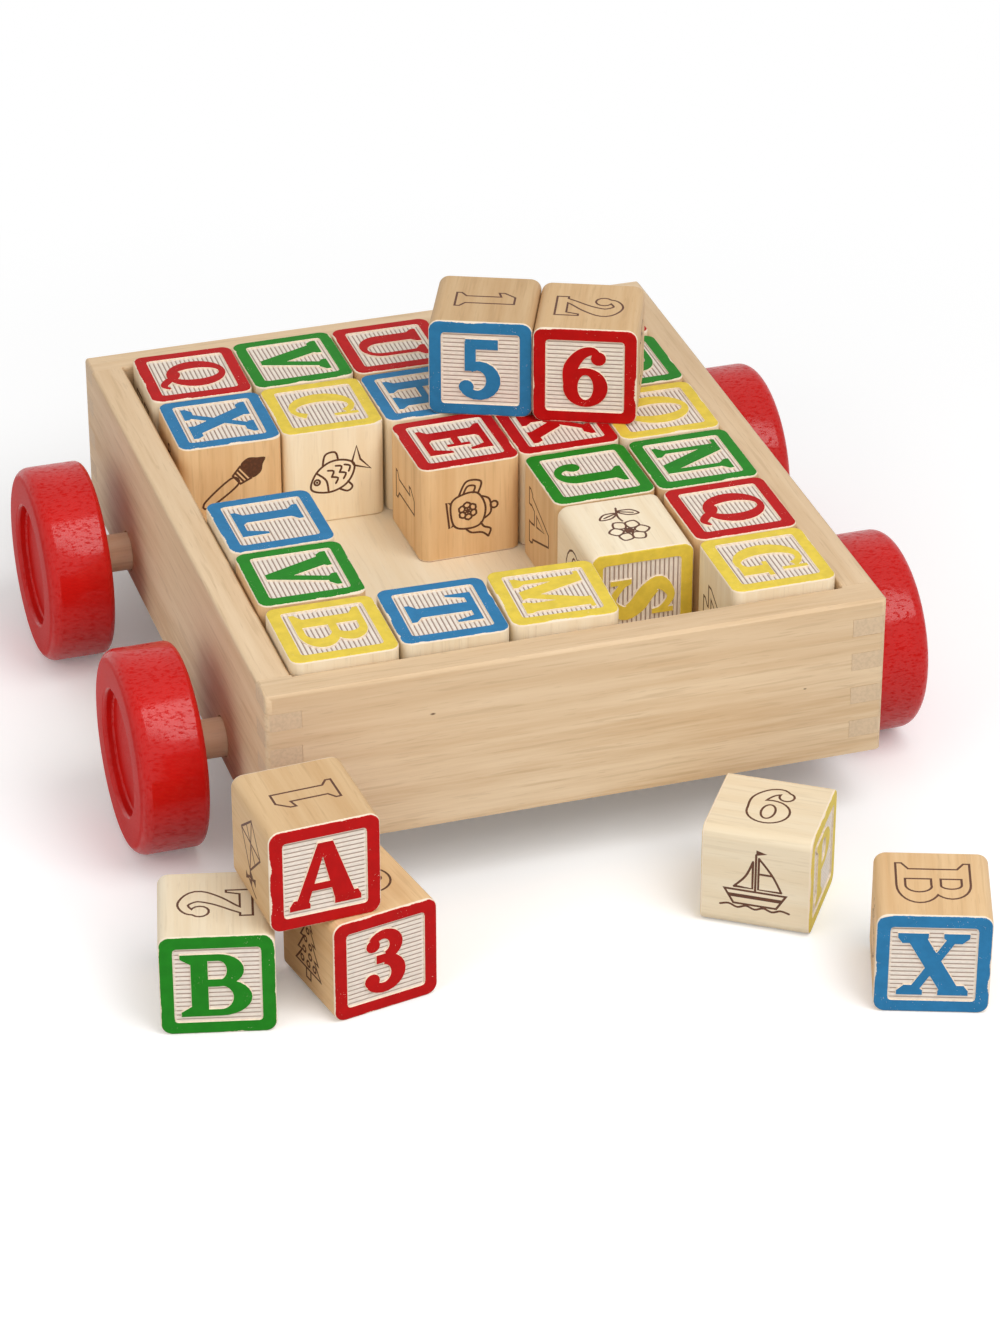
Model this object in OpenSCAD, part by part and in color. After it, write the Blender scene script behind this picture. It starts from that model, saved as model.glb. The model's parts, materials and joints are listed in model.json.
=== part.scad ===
/* [Blocks] */
// Edge length of one block
block = 38; // [34:0.5:42]
// Rounding of the four long edges
edge_r = 4; // [2.5:0.5:5]
// Width of the sunk square panel on an embossed face
panel = 28.5; // [27.5:0.5:30]
// Corner rounding of the sunk panel
panel_r = 1.2; // [0.8:0.2:2]
// Height of the raised letter and frame over the sunk panel
relief = 1; // [0.6:0.1:1.4]
// Height of a capital letter
cap_h = 24.5; // [22:0.5:25]

/* [Tray] */
// Free play in one cell across the tray
cell_gap_x = 1.2; // [1:0.1:2]
// Free play in one cell along the tray
cell_gap_y = 1.4; // [1.2:0.1:2.2]
// Thickness of the four walls
wall = 12.4; // [10:0.2:15]
// How far the block tops stand above the tray's rim
block_proud = 3.5; // [2:0.5:6]
// Thickness of the floor panel
floor_t = 6; // [4:0.5:7]
// Depth of the floor groove in the walls
groove = 5; // [3:0.5:6]
// Rounding of the tray's upright corners
corner_r = 2.4; // [1.5:0.3:3.9]
// Chamfer of the rim
rim_ease = 1.2; // [0.6:0.2:2]

/* [Wheels] */
// Wheel diameter
wheel_d = 72; // [66:1:80]
// Wheel thickness
wheel_w = 24; // [20:1:28]
// Rounding of the tread's edges
tread_r = 4; // [2:0.5:6]
// Diameter of the round recess in the outer face
recess_d = 44; // [36:1:48]
// Depth of the recess
recess = 4; // [2:0.5:6]
// Rounding of the recess's lip
lip_r = 1.6; // [0.8:0.2:2]
// Axle dowel diameter
axle_d = 14; // [11:0.5:15]
// Radial play of the axle in the walls
axle_play = 0.5; // [0.3:0.1:0.8]
// Axle centre above the walls' lower edge
axle_lift = 10; // [9.5:0.5:13]
// Distance between the two axles
axle_spread = 138; // [120:1:150]
// Mean gap between a wall and its wheel
wheel_gap = 9.2; // [7:0.2:12]
// How far both wheelsets have slid to the left
side_slip = 4; // [0:0.5:5]

/* [Hidden] */
$fn = 96;
cols = 5;
rows = 6;
finger_count = 9;
fit_gap = 0.1;
floor_play = 0.2;
axle_clear = 3;
bore_depth = 14;
bore_end_gap = 0.5;
axle_chamfer = 1;
stack_gap = 0.3;
stack_slip = 2.1;
over = 1;

pitch_x = block + cell_gap_x;
pitch_y = block + cell_gap_y;
inner_w = cols * pitch_x;
inner_l = rows * pitch_y;
tray_w = inner_w + 2 * wall;
tray_l = inner_l + 2 * wall;
wheel_r = wheel_d / 2;
axle_r = axle_d / 2;
tray_z = wheel_r - axle_lift;
floor_z = wheel_r + axle_r + axle_clear + floor_t;
rim_z = floor_z + block - block_proud;
wall_h = rim_z - tray_z;
finger = wall_h / finger_count;
load_z = floor_z + block;
axle_y = axle_spread / 2;

wood_tan = [0.80, 0.62, 0.40];
wood_pale = [0.89, 0.80, 0.64];
red = [0.74, 0.10, 0.10];
blue = [0.16, 0.42, 0.64];
green = [0.16, 0.48, 0.13];
yellow = [0.89, 0.76, 0.20];

// Ways a block can face: turns that take its embossed face up, forward or right
up = [0, 0, -90];
forward = [90, 0, 0];
forward_turned = [90, 90, 0];
rightward = [90, 0, 90];

function cell(col, row, slip_x, slip_y) = [
    (col - (cols + 1) / 2) * pitch_x + slip_x * cell_gap_x,
    (row - (rows + 1) / 2) * pitch_y + slip_y * cell_gap_y,
    floor_z
];
function ground(x, y, level) = [x * block, -tray_l / 2 - y * block, level * block];

stack_turn = -23.2;
stack_5 = [0.59 * pitch_x, 1.3 * pitch_y, load_z];
stack_step = [block + stack_gap, -stack_slip];
stack_6 = stack_5 + [
    stack_step[0] * cos(stack_turn) - stack_step[1] * sin(stack_turn),
    stack_step[0] * sin(stack_turn) + stack_step[1] * cos(stack_turn),
    0
];

// Each block: name, letter, letter on the opposite face, colours, facing, place of its base and turn
BLOCKS = [
    ["block_q_red_1", "Q", "1", red, wood_pale, up, cell(1, 6, 1.5, -0.1), -1.2],
    ["block_x_blue_1", "X", "4", blue, wood_tan, up, cell(1, 5, 1.7, 0.1), -1.0],
    ["block_l_blue", "L", "I", blue, wood_pale, up, cell(1, 3, -0.1, 0), 0.3],
    ["block_v_green_1", "V", "O", green, wood_tan, up, cell(1, 2, 0, 0.3), -0.6],
    ["block_b_yellow", "B", "0", yellow, wood_pale, up, cell(1, 1, 0, -0.1), -0.5],
    ["block_v_green_2", "V", "8", green, wood_pale, up, cell(2, 6, 1.2, 0.1), 0.3],
    ["block_c_yellow", "C", "2", yellow, wood_pale, up, cell(2, 5, 1.2, 0), -0.8],
    ["block_t_blue", "T", "7", blue, wood_pale, up, cell(2, 1, 0, 0.4), -1.4],
    ["block_u_red", "U", "9", red, wood_tan, up, cell(3, 6, 0.8, 0.1), -0.2],
    ["block_h_blue", "H", "Z", blue, wood_pale, up, cell(3, 5, 0.8, -0.1), 0.4],
    ["block_e_red", "E", "Y", red, wood_tan, up, cell(3, 4, 0.9, -0.9), 1.0],
    ["block_m_yellow", "M", "P", yellow, wood_pale, up, cell(3, 1, 0.1, 0.6), -2.4],
    ["block_w_yellow", "W", "K", yellow, wood_pale, up, cell(4, 6, 0.5, 0.1), 0.2],
    ["block_f_blue", "F", "D", blue, wood_pale, up, cell(4, 5, 0.5, 0), -0.3],
    ["block_k_red", "K", "S", red, wood_pale, up, cell(4, 4, 0.4, -0.3), 0.2],
    ["block_j_green", "J", "R", green, wood_tan, up, cell(4, 3, 0.3, -0.5), 0.4],
    ["block_s_yellow", "S", "N", yellow, wood_pale, forward_turned, cell(4, 2, 0.2, -0.7), -0.6],
    ["block_d_red", "D", "6", red, wood_pale, up, cell(5, 6, 0.1, 0.1), 0.3],
    ["block_r_green", "R", "3", green, wood_tan, up, cell(5, 5, 0.1, -0.1), -0.2],
    ["block_o_yellow", "O", "A", yellow, wood_pale, up, cell(5, 4, 0, -0.5), -0.4],
    ["block_n_green", "N", "5", green, wood_tan, up, cell(5, 3, 0.1, -0.8), 0],
    ["block_q_red_2", "Q", "J", red, wood_tan, up, cell(5, 2, 0.1, -0.3), 0.2],
    ["block_g_yellow", "G", "H", yellow, wood_pale, up, cell(5, 1, -0.2, 0.2), -0.1],
    ["block_5_blue", "5", "C", blue, wood_tan, forward, stack_5, stack_turn],
    ["block_6_red", "6", "E", red, wood_tan, forward, stack_6, stack_turn],
    ["block_a_red", "A", "L", red, wood_tan, forward, ground(-2.88, 1.17, 1), 3.7],
    ["block_b_green", "B", "M", green, wood_pale, forward, ground(-3.68, 1.10, 0), -13.7],
    ["block_3_red", "3", "W", red, wood_tan, forward, ground(-2.42, 1.17, 0), 11.2],
    ["block_p_yellow", "P", "T", yellow, wood_pale, rightward, ground(1.41, 1.07, 0), -34],
    ["block_x_blue_2", "X", "F", blue, wood_tan, forward, ground(2.31, 2.68, 0), -20]
];
leftmost = 26;
foremost = 29;

// The set's own box, so that the origin sits under its middle
function half_span(turn) = block / 2 * (abs(cos(turn)) + abs(sin(turn)));
set_left = BLOCKS[leftmost][6][0] - half_span(BLOCKS[leftmost][7]);
set_right = tray_w / 2 + wheel_gap - side_slip + wheel_w;
set_front = BLOCKS[foremost][6][1] - half_span(BLOCKS[foremost][7]);
set_back = tray_l / 2;
set_middle = [(set_left + set_right) / 2, (set_front + set_back) / 2, 0];

// Outlines
arc_steps = 14;
corner_steps = 6;
spline_steps = 5;
function ellipse_arc(o, from, to, steps) = [
    for (i = [0:steps])
        let (a = from + (to - from) * i / steps)
        [o[0] + o[2] * cos(a), o[1] + o[3] * sin(a)]
];
function reversed(v) = [for (i = [len(v) - 1:-1:0]) v[i]];
function rounded_box(w, l, r) = [
    for (q = [0:3])
        let (x = (q == 0 || q == 3) ? 1 : -1, y = q < 2 ? 1 : -1)
        each ellipse_arc([x * (w / 2 - r), y * (l / 2 - r), r, r], 90 * q, 90 * q + 90, corner_steps)
];
function between(a, b, c, d, t) =
    (2 * b + (c - a) * t + (2 * a - 5 * b + 4 * c - d) * t * t + (3 * b - a - 3 * c + d) * t * t * t) / 2;
function spline(k) = concat(
    [
        for (i = [0:len(k) - 2])
            for (j = [0:spline_steps - 1])
                between(k[max(i - 1, 0)], k[i], k[i + 1], k[min(i + 2, len(k) - 1)], j / spline_steps)
    ],
    [k[len(k) - 1]]
);
function side_points(p, hand) = [
    for (i = [0:len(p) - 1])
        let (d = p[min(i + 1, len(p) - 1)] - p[max(i - 1, 0)], n = norm([d[0], d[1]]))
        [p[i][0] - hand * d[1] / n * p[i][2] / 2, p[i][1] + hand * d[0] / n * p[i][2] / 2]
];

// Strokes of the letters, in hundredths of the capital height
thick = 24;
thin = 12;
slab = 8;
bracket = 9;
module bar(x0, y0, x1, y1) polygon([[x0, y0], [x1, y0], [x1, y1], [x0, y1]]);
module diagonal(x0, y0, x1, y1, w)
    polygon([[x0 - w / 2, y0], [x0 + w / 2, y0], [x1 + w / 2, y1], [x1 - w / 2, y1]]);
module stem(x, w = thick) bar(x - w / 2, 0, x + w / 2, 100);
module foot(x, half, w = thick)
    polygon([
        [x - half, 0], [x + half, 0], [x + half, slab], [x + w / 2, slab + bracket],
        [x - w / 2, slab + bracket], [x - half, slab]
    ]);
module head(x, half, w = thick) translate([0, 100]) mirror([0, 1]) foot(x, half, w);
module bowl(o, i, from, to)
    polygon(concat(ellipse_arc(o, from, to, arc_steps), reversed(ellipse_arc(i, from, to, arc_steps))));
module ring(o, i) {
    difference() {
        polygon(ellipse_arc(o, 0, 360, 2 * arc_steps));
        polygon(ellipse_arc(i, 0, 360, 2 * arc_steps));
    }
}
module ball(x, y, r) polygon(ellipse_arc([x, y, r, r], 0, 360, arc_steps));
module brush(k) {
    p = spline(k);
    polygon(concat(side_points(p, 1), reversed(side_points(p, -1))));
}
module beak(x, y, dx, dy) polygon([[x, y], [x, y + dy], [x - dx * 0.35, y + dy], [x - dx, y]]);
module left_slabs(x) {
    polygon([[x - 26, 0], [x, 0], [x, slab + bracket], [x - thick / 2, slab + bracket], [x - 26, slab]]);
    polygon([
        [x - 26, 100], [x - 26, 100 - slab], [x - thick / 2, 100 - slab - bracket], [x, 100 - slab - bracket], [x, 100]
    ]);
}
module cross_bars(x0, x1, low, high) {
    bar(x0, low, x1, low + thin);
    bar(x0, high - thin, x1, high);
}

module letter_a_to_f(c) {
    if (c == "A") {
        polygon([[-46, 0], [-26, 0], [4, 100], [-10, 100]]);
        polygon([[14, 0], [46, 0], [12, 100], [-8, 100]]);
        bar(-30, 26, 26, 38);
        foot(-36, 15, 18);
        foot(31, 19, 29);
    }
    if (c == "B") {
        stem(-24);
        left_slabs(-24);
        cross_bars(-24, 2, 47, 100);
        cross_bars(-24, 4, 0, 60);
        bowl([2, 73.5, 34, 26.5], [2, 73.5, 10, 14.5], -90, 90);
        bowl([4, 30, 42, 30], [4, 30, 16, 18], -90, 90);
    }
    if (c == "C") {
        bowl([2, 50, 42, 51], [5, 50, 18, 40], 42, 322);
        bar(28, 62, 37, 100);
    }
    if (c == "D") {
        stem(-26);
        left_slabs(-26);
        cross_bars(-26, -4, 0, 100);
        bowl([-4, 50, 46, 50], [-4, 50, 20, 38], -90, 90);
    }
    if (c == "E" || c == "F") {
        stem(-20);
        head(-20, 22);
        bar(-20, 100 - thin, 34, 100);
        bar(-20, 45, 14, 45 + thin);
        bar(10, 33, 19, 70);
        beak(36, 98, 20, -33);
        bar(30, 98, 36, 100);
        if (c == "E") {
            foot(-20, 22);
            bar(-20, 0, 36, thin);
            beak(38, 3, 21, 35);
            bar(32, 0, 38, 3);
        }
        if (c == "F") {
            foot(-20, 24);
        }
    }
}
module letter_g_to_l(c) {
    if (c == "G") {
        bowl([0, 50, 42, 51], [3, 50, 18, 40], 42, 318);
        bar(26, 62, 35, 100);
        bar(13, 2, 37, 42);
        bar(4, 38, 45, 47);
    }
    if (c == "H") {
        for (x = [-27, 27]) {
            stem(x);
            head(x, 20);
            foot(x, 20);
        }
        bar(-27, 44, 27, 44 + thin);
    }
    if (c == "I") {
        stem(0, 26);
        head(0, 25, 26);
        foot(0, 25, 26);
    }
    if (c == "J") {
        bar(0, 27, 25, 100);
        head(12.5, 23, 25);
        bowl([-6, 28, 31, 30], [-9, 28, 9, 17], 180, 360);
        ball(-24, 30, 13);
    }
    if (c == "K") {
        stem(-27);
        head(-27, 20);
        foot(-27, 20);
        diagonal(-20, 34, 27, 98, 17);
        diagonal(30, 2, -6, 56, 28);
        head(28, 17, 16);
        foot(31, 19, 26);
    }
    if (c == "L") {
        stem(-16);
        head(-16, 22);
        foot(-16, 22);
        bar(-16, 0, 34, thin);
        beak(36, 3, 21, 38);
        bar(31, 0, 36, 3);
    }
}
module letter_m_to_r(c) {
    if (c == "M") {
        stem(-36, thin);
        stem(34);
        foot(-36, 13, thin);
        foot(34, 16);
        bar(-50, 100 - slab, -30, 100);
        bar(30, 100 - slab, 52, 100);
        diagonal(0, 4, -34, 100, 24);
        diagonal(-2, 4, 33, 100, 15);
    }
    if (c == "N") {
        stem(-30, thin);
        stem(30, thin);
        foot(-30, 15, thin);
        head(30, 15, thin);
        bar(-48, 100 - slab, -28, 100);
        diagonal(22, 0, -27, 100, 27);
    }
    if (c == "O") {
        ring([0, 50, 43, 51], [0, 50, 18, 40]);
    }
    if (c == "P" || c == "R") {
        stem(-23);
        head(-23, 21);
        foot(-23, 21);
        cross_bars(-23, 0, 43, 100);
        bowl([0, 71.5, 38, 28.5], [0, 71.5, 13, 16.5], -90, 90);
        if (c == "R") {
            diagonal(28, 2, 3, 50, 26);
            bar(18, 0, 46, slab);
        }
    }
    if (c == "Q") {
        ring([0, 56, 42, 46], [0, 56, 18, 35]);
        brush([[-16, 19, 5], [-9, 28, 10], [4, 22, 15], [16, 8, 15], [29, 1, 12], [41, 8, 5]]);
    }
}
module letter_s_to_z(c) {
    if (c == "S") {
        brush([
            [23, 66, 4], [22, 81, 11], [2, 94, 13], [-20, 77, 23], [-8, 58, 28],
            [12, 43, 28], [22, 23, 23], [2, 6, 13], [-21, 19, 11], [-26, 34, 4]
        ]);
        bar(21, 65, 30, 98);
        bar(-33, 2, -24, 35);
    }
    if (c == "T") {
        stem(0, 26);
        foot(0, 24, 26);
        bar(-37, 100 - thin, 37, 100);
        for (s = [-1, 1])
            mirror([s < 0 ? 1 : 0, 0]) {
                beak(39, 97, 18, -35);
                bar(31, 97, 39, 100);
            }
    }
    if (c == "U") {
        bar(-37, 32, -11, 100);
        bar(21, 32, 21 + thin, 100);
        bowl([-2, 33, 35, 34], [5, 33, 16, 22], 180, 360);
        head(-24, 21, 26);
        head(27, 17, thin);
    }
    if (c == "V") {
        polygon([[-45, 98], [-16, 98], [8, 30], [6, 0], [-8, 0]]);
        polygon([[22, 98], [37, 98], [6, 0], [-8, 0], [-2, 22]]);
        head(-30.5, 21, 28);
        head(29.5, 17, 14);
    }
    if (c == "W") {
        for (x = [-23, 20]) {
            polygon([[x - 27, 98], [x - 5, 98], [x + 7, 30], [x + 5, 0], [x - 7, 0]]);
            polygon([[x + 11, 98], [x + 22, 98], [x + 5, 0], [x - 7, 0], [x - 2, 22]]);
        }
        head(-39, 14, 21);
        head(3, 15, 21);
        head(36.5, 13, 10);
    }
    if (c == "X") {
        diagonal(28, 0, -28, 100, 29);
        diagonal(-30, 0, 30, 100, 16);
        head(-28, 21, 29);
        head(30, 18, 16);
        foot(-30, 18, 16);
        foot(28, 21, 29);
    }
    if (c == "Y") {
        bar(-13, 0, 13, 48);
        foot(0, 23, 26);
        diagonal(0, 38, -31, 98, 28);
        diagonal(4, 38, 33, 98, 16);
        head(-31, 20, 27);
        head(33, 16, 15);
    }
    if (c == "Z") {
        bar(-30, 100 - thin, 31, 100);
        bar(-33, 0, 32, thin);
        diagonal(-19, 3, 18, 97, 28);
        beak(34, 3, 19, 34);
        bar(29, 0, 34, 3);
        mirror([1, 0]) {
            beak(32, 97, 19, -34);
            bar(27, 97, 32, 100);
        }
    }
}
module number_0_to_4(c) {
    if (c == "0") {
        ring([0, 50, 35, 51], [0, 50, 12, 40]);
    }
    if (c == "1") {
        stem(2, 26);
        foot(2, 25, 26);
        polygon([[-10, 100], [3, 100], [3, 80], [-26, 72], [-26, 81]]);
    }
    if (c == "2") {
        brush([
            [-21, 70, 8], [-16, 86, 13], [2, 93, 15], [19, 75, 25], [9, 50, 20], [-11, 25, 13], [-22, 9, 11]
        ]);
        ball(-17, 71, 12.5);
        bar(-30, 0, 30, 17);
        beak(32, 3, 14, 32);
        bar(22, 0, 32, 3);
    }
    if (c == "3") {
        bowl([-2, 75, 28, 26], [-4, 75, 9, 10], -80, 150);
        bowl([-3, 30, 33, 31], [-5, 30, 12, 14], -145, 85);
        bar(-15, 47, 2, 62);
        ball(-19, 78, 11);
        ball(-21, 22, 12);
    }
    if (c == "4") {
        stem(13);
        foot(13, 22);
        polygon([[-38, 22], [-38, 34], [4, 100], [20, 100], [-19, 34], [38, 34], [38, 22]]);
    }
}
module number_5_to_9(c) {
    if (c == "5") {
        bar(-23, 82, 27, 100);
        bar(-24, 46, -6, 96);
        bowl([-3, 31, 34, 33], [-5, 31, 13, 16], -140, 125);
        ball(-21, 20, 12);
    }
    if (c == "6" || c == "9")
        translate([0, c == "9" ? 100 : 0])
            rotate(c == "9" ? 180 : 0) {
                ring([1, 32, 34, 33], [1, 32, 11, 20]);
                brush([[23, 80, 8], [12, 92, 14], [-6, 86, 19], [-21, 64, 23], [-21.5, 37, 23]]);
                ball(20, 80, 12);
            }
    if (c == "7") {
        bar(-29, 80, 29, 100);
        polygon([[-29, 88], [-29, 58], [-22, 58], [-10, 83]]);
        polygon([[29, 92], [10, 86], [-14, 36], [-18, 0], [9, 0], [10, 36]]);
    }
    if (c == "8") {
        ring([0, 74, 30, 27], [0, 74, 10, 15]);
        ring([0, 29, 35, 30], [0, 29, 12, 17]);
    }
}
module letter(c)
    translate([0, -cap_h / 2])
        scale(cap_h / 100) {
            letter_a_to_f(c);
            letter_g_to_l(c);
            letter_m_to_r(c);
            letter_s_to_z(c);
            number_0_to_4(c);
            number_5_to_9(c);
        }

// One block about its own middle, with its embossed faces at the two ends of Z
module raised_face(c)
    translate([0, 0, block / 2 - relief])
        linear_extrude(relief) {
            difference() {
                polygon(rounded_box(block, block, edge_r));
                polygon(rounded_box(panel, panel, panel_r));
            }
            letter(c);
        }
module block_body()
    linear_extrude(block - 2 * relief, center = true)
        polygon(rounded_box(block, block, edge_r));
module placed_block(b)
    translate(b[6] + [0, 0, block / 2])
        rotate([0, 0, b[7]])
            rotate(b[5]) {
                color(b[4]) block_body();
                color(b[3]) raised_face(b[1]);
                color(b[3]) rotate([0, 180, 0]) raised_face(b[2]);
            }

// Tray
module tray_shape()
    translate([0, 0, tray_z])
        linear_extrude(wall_h)
            polygon(rounded_box(tray_w, tray_l, corner_r));
// Cutter for the chamfer of a rim edge along X that faces +Y or -Y
cutter = 4 * rim_ease;
cutter_lift = (cutter / 2 - rim_ease / sqrt(2)) / sqrt(2);
module rim_edge(length, facing)
    translate([0, facing * cutter_lift, cutter_lift])
        rotate([45, 0, 0])
            cube([length, cutter, cutter], center = true);
module end_rim(y, facing, length) translate([0, y, rim_z]) rim_edge(length, facing);
module side_rim(x, facing)
    translate([x, 0, rim_z])
        rotate([0, 0, -90])
            rim_edge(tray_l + 2 * over, facing);
// The floor with its tongues, which stop short of the corner joints
module floor_slab(play) {
    reach = 2 * (groove - play);
    thickness = floor_t + floor_play - play;
    translate([0, 0, floor_z - floor_t / 2]) {
        cube([inner_w + reach, inner_l - play, thickness], center = true);
        cube([inner_w - play, inner_l + reach, thickness], center = true);
    }
}
// Corner notches at every second finger, counted from the given one and run past the faces they open
function notch_low(i) = tray_z + i * finger - (i == 0 ? over : 0);
function notch_high(i) = tray_z + (i + 1) * finger + (i == finger_count - 1 ? over : 0);
module finger_notches(first, past_x, past_y)
    for (x = [0, 1], y = [0, 1], i = [first:2:finger_count - 1])
        mirror([x, 0, 0])
            mirror([0, y, 0])
                translate([inner_w / 2 - past_x, inner_l / 2 - past_y, notch_low(i)])
                    cube([wall + past_x + over, wall + past_y + over, notch_high(i) - notch_low(i)]);
module axle_holes()
    for (y = [-axle_y, axle_y])
        translate([0, y, wheel_r])
            rotate([0, 90, 0])
                cylinder(h = tray_w + 2 * over, r = axle_r + axle_play, center = true);
module end_wall(side)
    color(wood_tan)
        difference() {
            intersection() {
                tray_shape();
                translate([0, side * (inner_l / 2 + wall), tray_z + wall_h / 2])
                    cube([tray_w + 2 * over, 2 * wall, wall_h + 2 * over], center = true);
            }
            finger_notches(1, 0, over);
            floor_slab(0);
            end_rim(side * tray_l / 2, side, tray_w + 2 * over);
            end_rim(side * inner_l / 2, -side, inner_w);
            for (x = [-1, 1]) side_rim(x * tray_w / 2, x);
        }
module side_wall(side)
    color(wood_tan)
        difference() {
            intersection() {
                tray_shape();
                translate([side * (inner_w / 2 + wall), 0, tray_z + wall_h / 2])
                    cube([2 * wall, tray_l + 2 * over, wall_h + 2 * over], center = true);
            }
            finger_notches(0, over, 0);
            floor_slab(0);
            side_rim(side * tray_w / 2, side);
            side_rim(side * inner_w / 2, -side);
            axle_holes();
        }
module front_wall() end_wall(-1);
module rear_wall() end_wall(1);
module left_wall() side_wall(-1);
module right_wall() side_wall(1);
module floor_panel() color(wood_pale) floor_slab(floor_play);

// Wheelsets
wheel_face = tray_w / 2 + wheel_gap;
axle_half = wheel_face + bore_depth - bore_end_gap;
module axle(side)
    color(wood_pale)
        translate([-side_slip, side * axle_y, wheel_r])
            rotate([0, 90, 0])
                rotate_extrude()
                    polygon([
                        [0, -axle_half], [axle_r - axle_chamfer, -axle_half],
                        [axle_r, axle_chamfer - axle_half], [axle_r, axle_half - axle_chamfer],
                        [axle_r - axle_chamfer, axle_half], [0, axle_half]
                    ]);
// Half section of a wheel: its inner face at height 0 and the recessed outer face on top
function wheel_section() = concat(
    [[0, bore_depth], [axle_r + fit_gap, bore_depth], [axle_r + fit_gap, 0]],
    ellipse_arc([wheel_r - tread_r, tread_r, tread_r, tread_r], -90, 0, corner_steps),
    ellipse_arc([wheel_r - tread_r, wheel_w - tread_r, tread_r, tread_r], 0, 90, corner_steps),
    ellipse_arc([recess_d / 2 + lip_r, wheel_w - lip_r, lip_r, lip_r], 90, 180, corner_steps),
    [[recess_d / 2, wheel_w - recess], [0, wheel_w - recess]]
);
module wheel(side, end)
    color(red)
        translate([side * wheel_face - side_slip, end * axle_y, wheel_r])
            rotate([0, side * 90, 0])
                rotate_extrude()
                    polygon(wheel_section());
module front_axle() axle(-1);
module rear_axle() axle(1);
module front_left_wheel() wheel(-1, -1);
module front_right_wheel() wheel(1, -1);
module rear_left_wheel() wheel(-1, 1);
module rear_right_wheel() wheel(1, 1);

translate(-set_middle) {
    front_wall();
    rear_wall();
    left_wall();
    right_wall();
    floor_panel();
    front_axle();
    rear_axle();
    front_left_wheel();
    front_right_wheel();
    rear_left_wheel();
    rear_right_wheel();
    for (b = BLOCKS)
        placed_block(b);
}
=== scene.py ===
"""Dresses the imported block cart: a finger-jointed tray on turned wheels and thirty embossed blocks."""

import json
import math

import bmesh
import bpy
import numpy as np
from mathutils import Euler, Matrix, Vector
from mathutils.geometry import delaunay_2d_cdt

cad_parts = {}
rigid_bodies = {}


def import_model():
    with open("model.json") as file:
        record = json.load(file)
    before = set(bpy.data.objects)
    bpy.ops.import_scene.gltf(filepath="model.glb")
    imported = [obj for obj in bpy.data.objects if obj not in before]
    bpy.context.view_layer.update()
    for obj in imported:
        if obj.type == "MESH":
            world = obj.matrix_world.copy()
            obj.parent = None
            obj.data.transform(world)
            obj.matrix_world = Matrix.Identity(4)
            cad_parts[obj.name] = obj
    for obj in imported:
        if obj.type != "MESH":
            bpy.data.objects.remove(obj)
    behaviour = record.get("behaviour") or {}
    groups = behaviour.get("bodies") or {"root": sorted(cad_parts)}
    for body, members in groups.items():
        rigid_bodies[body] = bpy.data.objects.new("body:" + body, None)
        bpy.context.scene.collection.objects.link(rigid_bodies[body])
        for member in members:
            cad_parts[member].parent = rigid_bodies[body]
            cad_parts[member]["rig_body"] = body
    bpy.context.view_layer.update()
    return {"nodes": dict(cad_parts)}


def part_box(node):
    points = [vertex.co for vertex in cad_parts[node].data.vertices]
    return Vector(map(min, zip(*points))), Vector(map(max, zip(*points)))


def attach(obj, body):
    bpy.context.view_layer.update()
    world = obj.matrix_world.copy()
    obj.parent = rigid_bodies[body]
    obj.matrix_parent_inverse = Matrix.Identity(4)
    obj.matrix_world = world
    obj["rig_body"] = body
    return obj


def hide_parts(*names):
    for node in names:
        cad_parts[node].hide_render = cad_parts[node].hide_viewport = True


bl_info = {
    "name": "Wooden Block Cart",
    "version": (1, 0, 0),
    "blender": (4, 5, 0),
    "location": "3D View > Sidebar > Block Cart",
    "description": "Builds the painted blocks, turned wheels and wooden tray over their packed solids",
    "category": "Object",
}

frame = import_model()

MM = 0.001

# Blocks: node, letter, letter on the opposite face, paint, wood, facing and turn about the upright
BLOCKS = (
    ("block_q_red_1", "Q", "1", "red", "pale", "up", -1.2),
    ("block_x_blue_1", "X", "4", "blue", "tan", "up", -1.0),
    ("block_l_blue", "L", "I", "blue", "pale", "up", 0.3),
    ("block_v_green_1", "V", "O", "green", "tan", "up", -0.6),
    ("block_b_yellow", "B", "0", "yellow", "pale", "up", -0.5),
    ("block_v_green_2", "V", "8", "green", "pale", "up", 0.3),
    ("block_c_yellow", "C", "2", "yellow", "pale", "up", -0.8),
    ("block_t_blue", "T", "7", "blue", "pale", "up", -1.4),
    ("block_u_red", "U", "9", "red", "tan", "up", -0.2),
    ("block_h_blue", "H", "Z", "blue", "pale", "up", 0.4),
    ("block_e_red", "E", "Y", "red", "tan", "up", 1.0),
    ("block_m_yellow", "M", "P", "yellow", "pale", "up", -2.4),
    ("block_w_yellow", "W", "K", "yellow", "pale", "up", 0.2),
    ("block_f_blue", "F", "D", "blue", "pale", "up", -0.3),
    ("block_k_red", "K", "S", "red", "pale", "up", 0.2),
    ("block_j_green", "J", "R", "green", "tan", "up", 0.4),
    ("block_s_yellow", "S", "N", "yellow", "pale", "forward_turned", -0.6),
    ("block_d_red", "D", "6", "red", "pale", "up", 0.3),
    ("block_r_green", "R", "3", "green", "tan", "up", -0.2),
    ("block_o_yellow", "O", "A", "yellow", "pale", "up", -0.4),
    ("block_n_green", "N", "5", "green", "tan", "up", 0.0),
    ("block_q_red_2", "Q", "J", "red", "tan", "up", 0.2),
    ("block_g_yellow", "G", "H", "yellow", "pale", "up", -0.1),
    ("block_5_blue", "5", "C", "blue", "tan", "forward", -23.2),
    ("block_6_red", "6", "E", "red", "tan", "forward", -23.2),
    ("block_a_red", "A", "L", "red", "tan", "forward", 3.7),
    ("block_b_green", "B", "M", "green", "pale", "forward", -13.7),
    ("block_3_red", "3", "W", "red", "tan", "forward", 11.2),
    ("block_p_yellow", "P", "T", "yellow", "pale", "rightward", -34.0),
    ("block_x_blue_2", "X", "F", "blue", "tan", "forward", -20.0),
)
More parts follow.
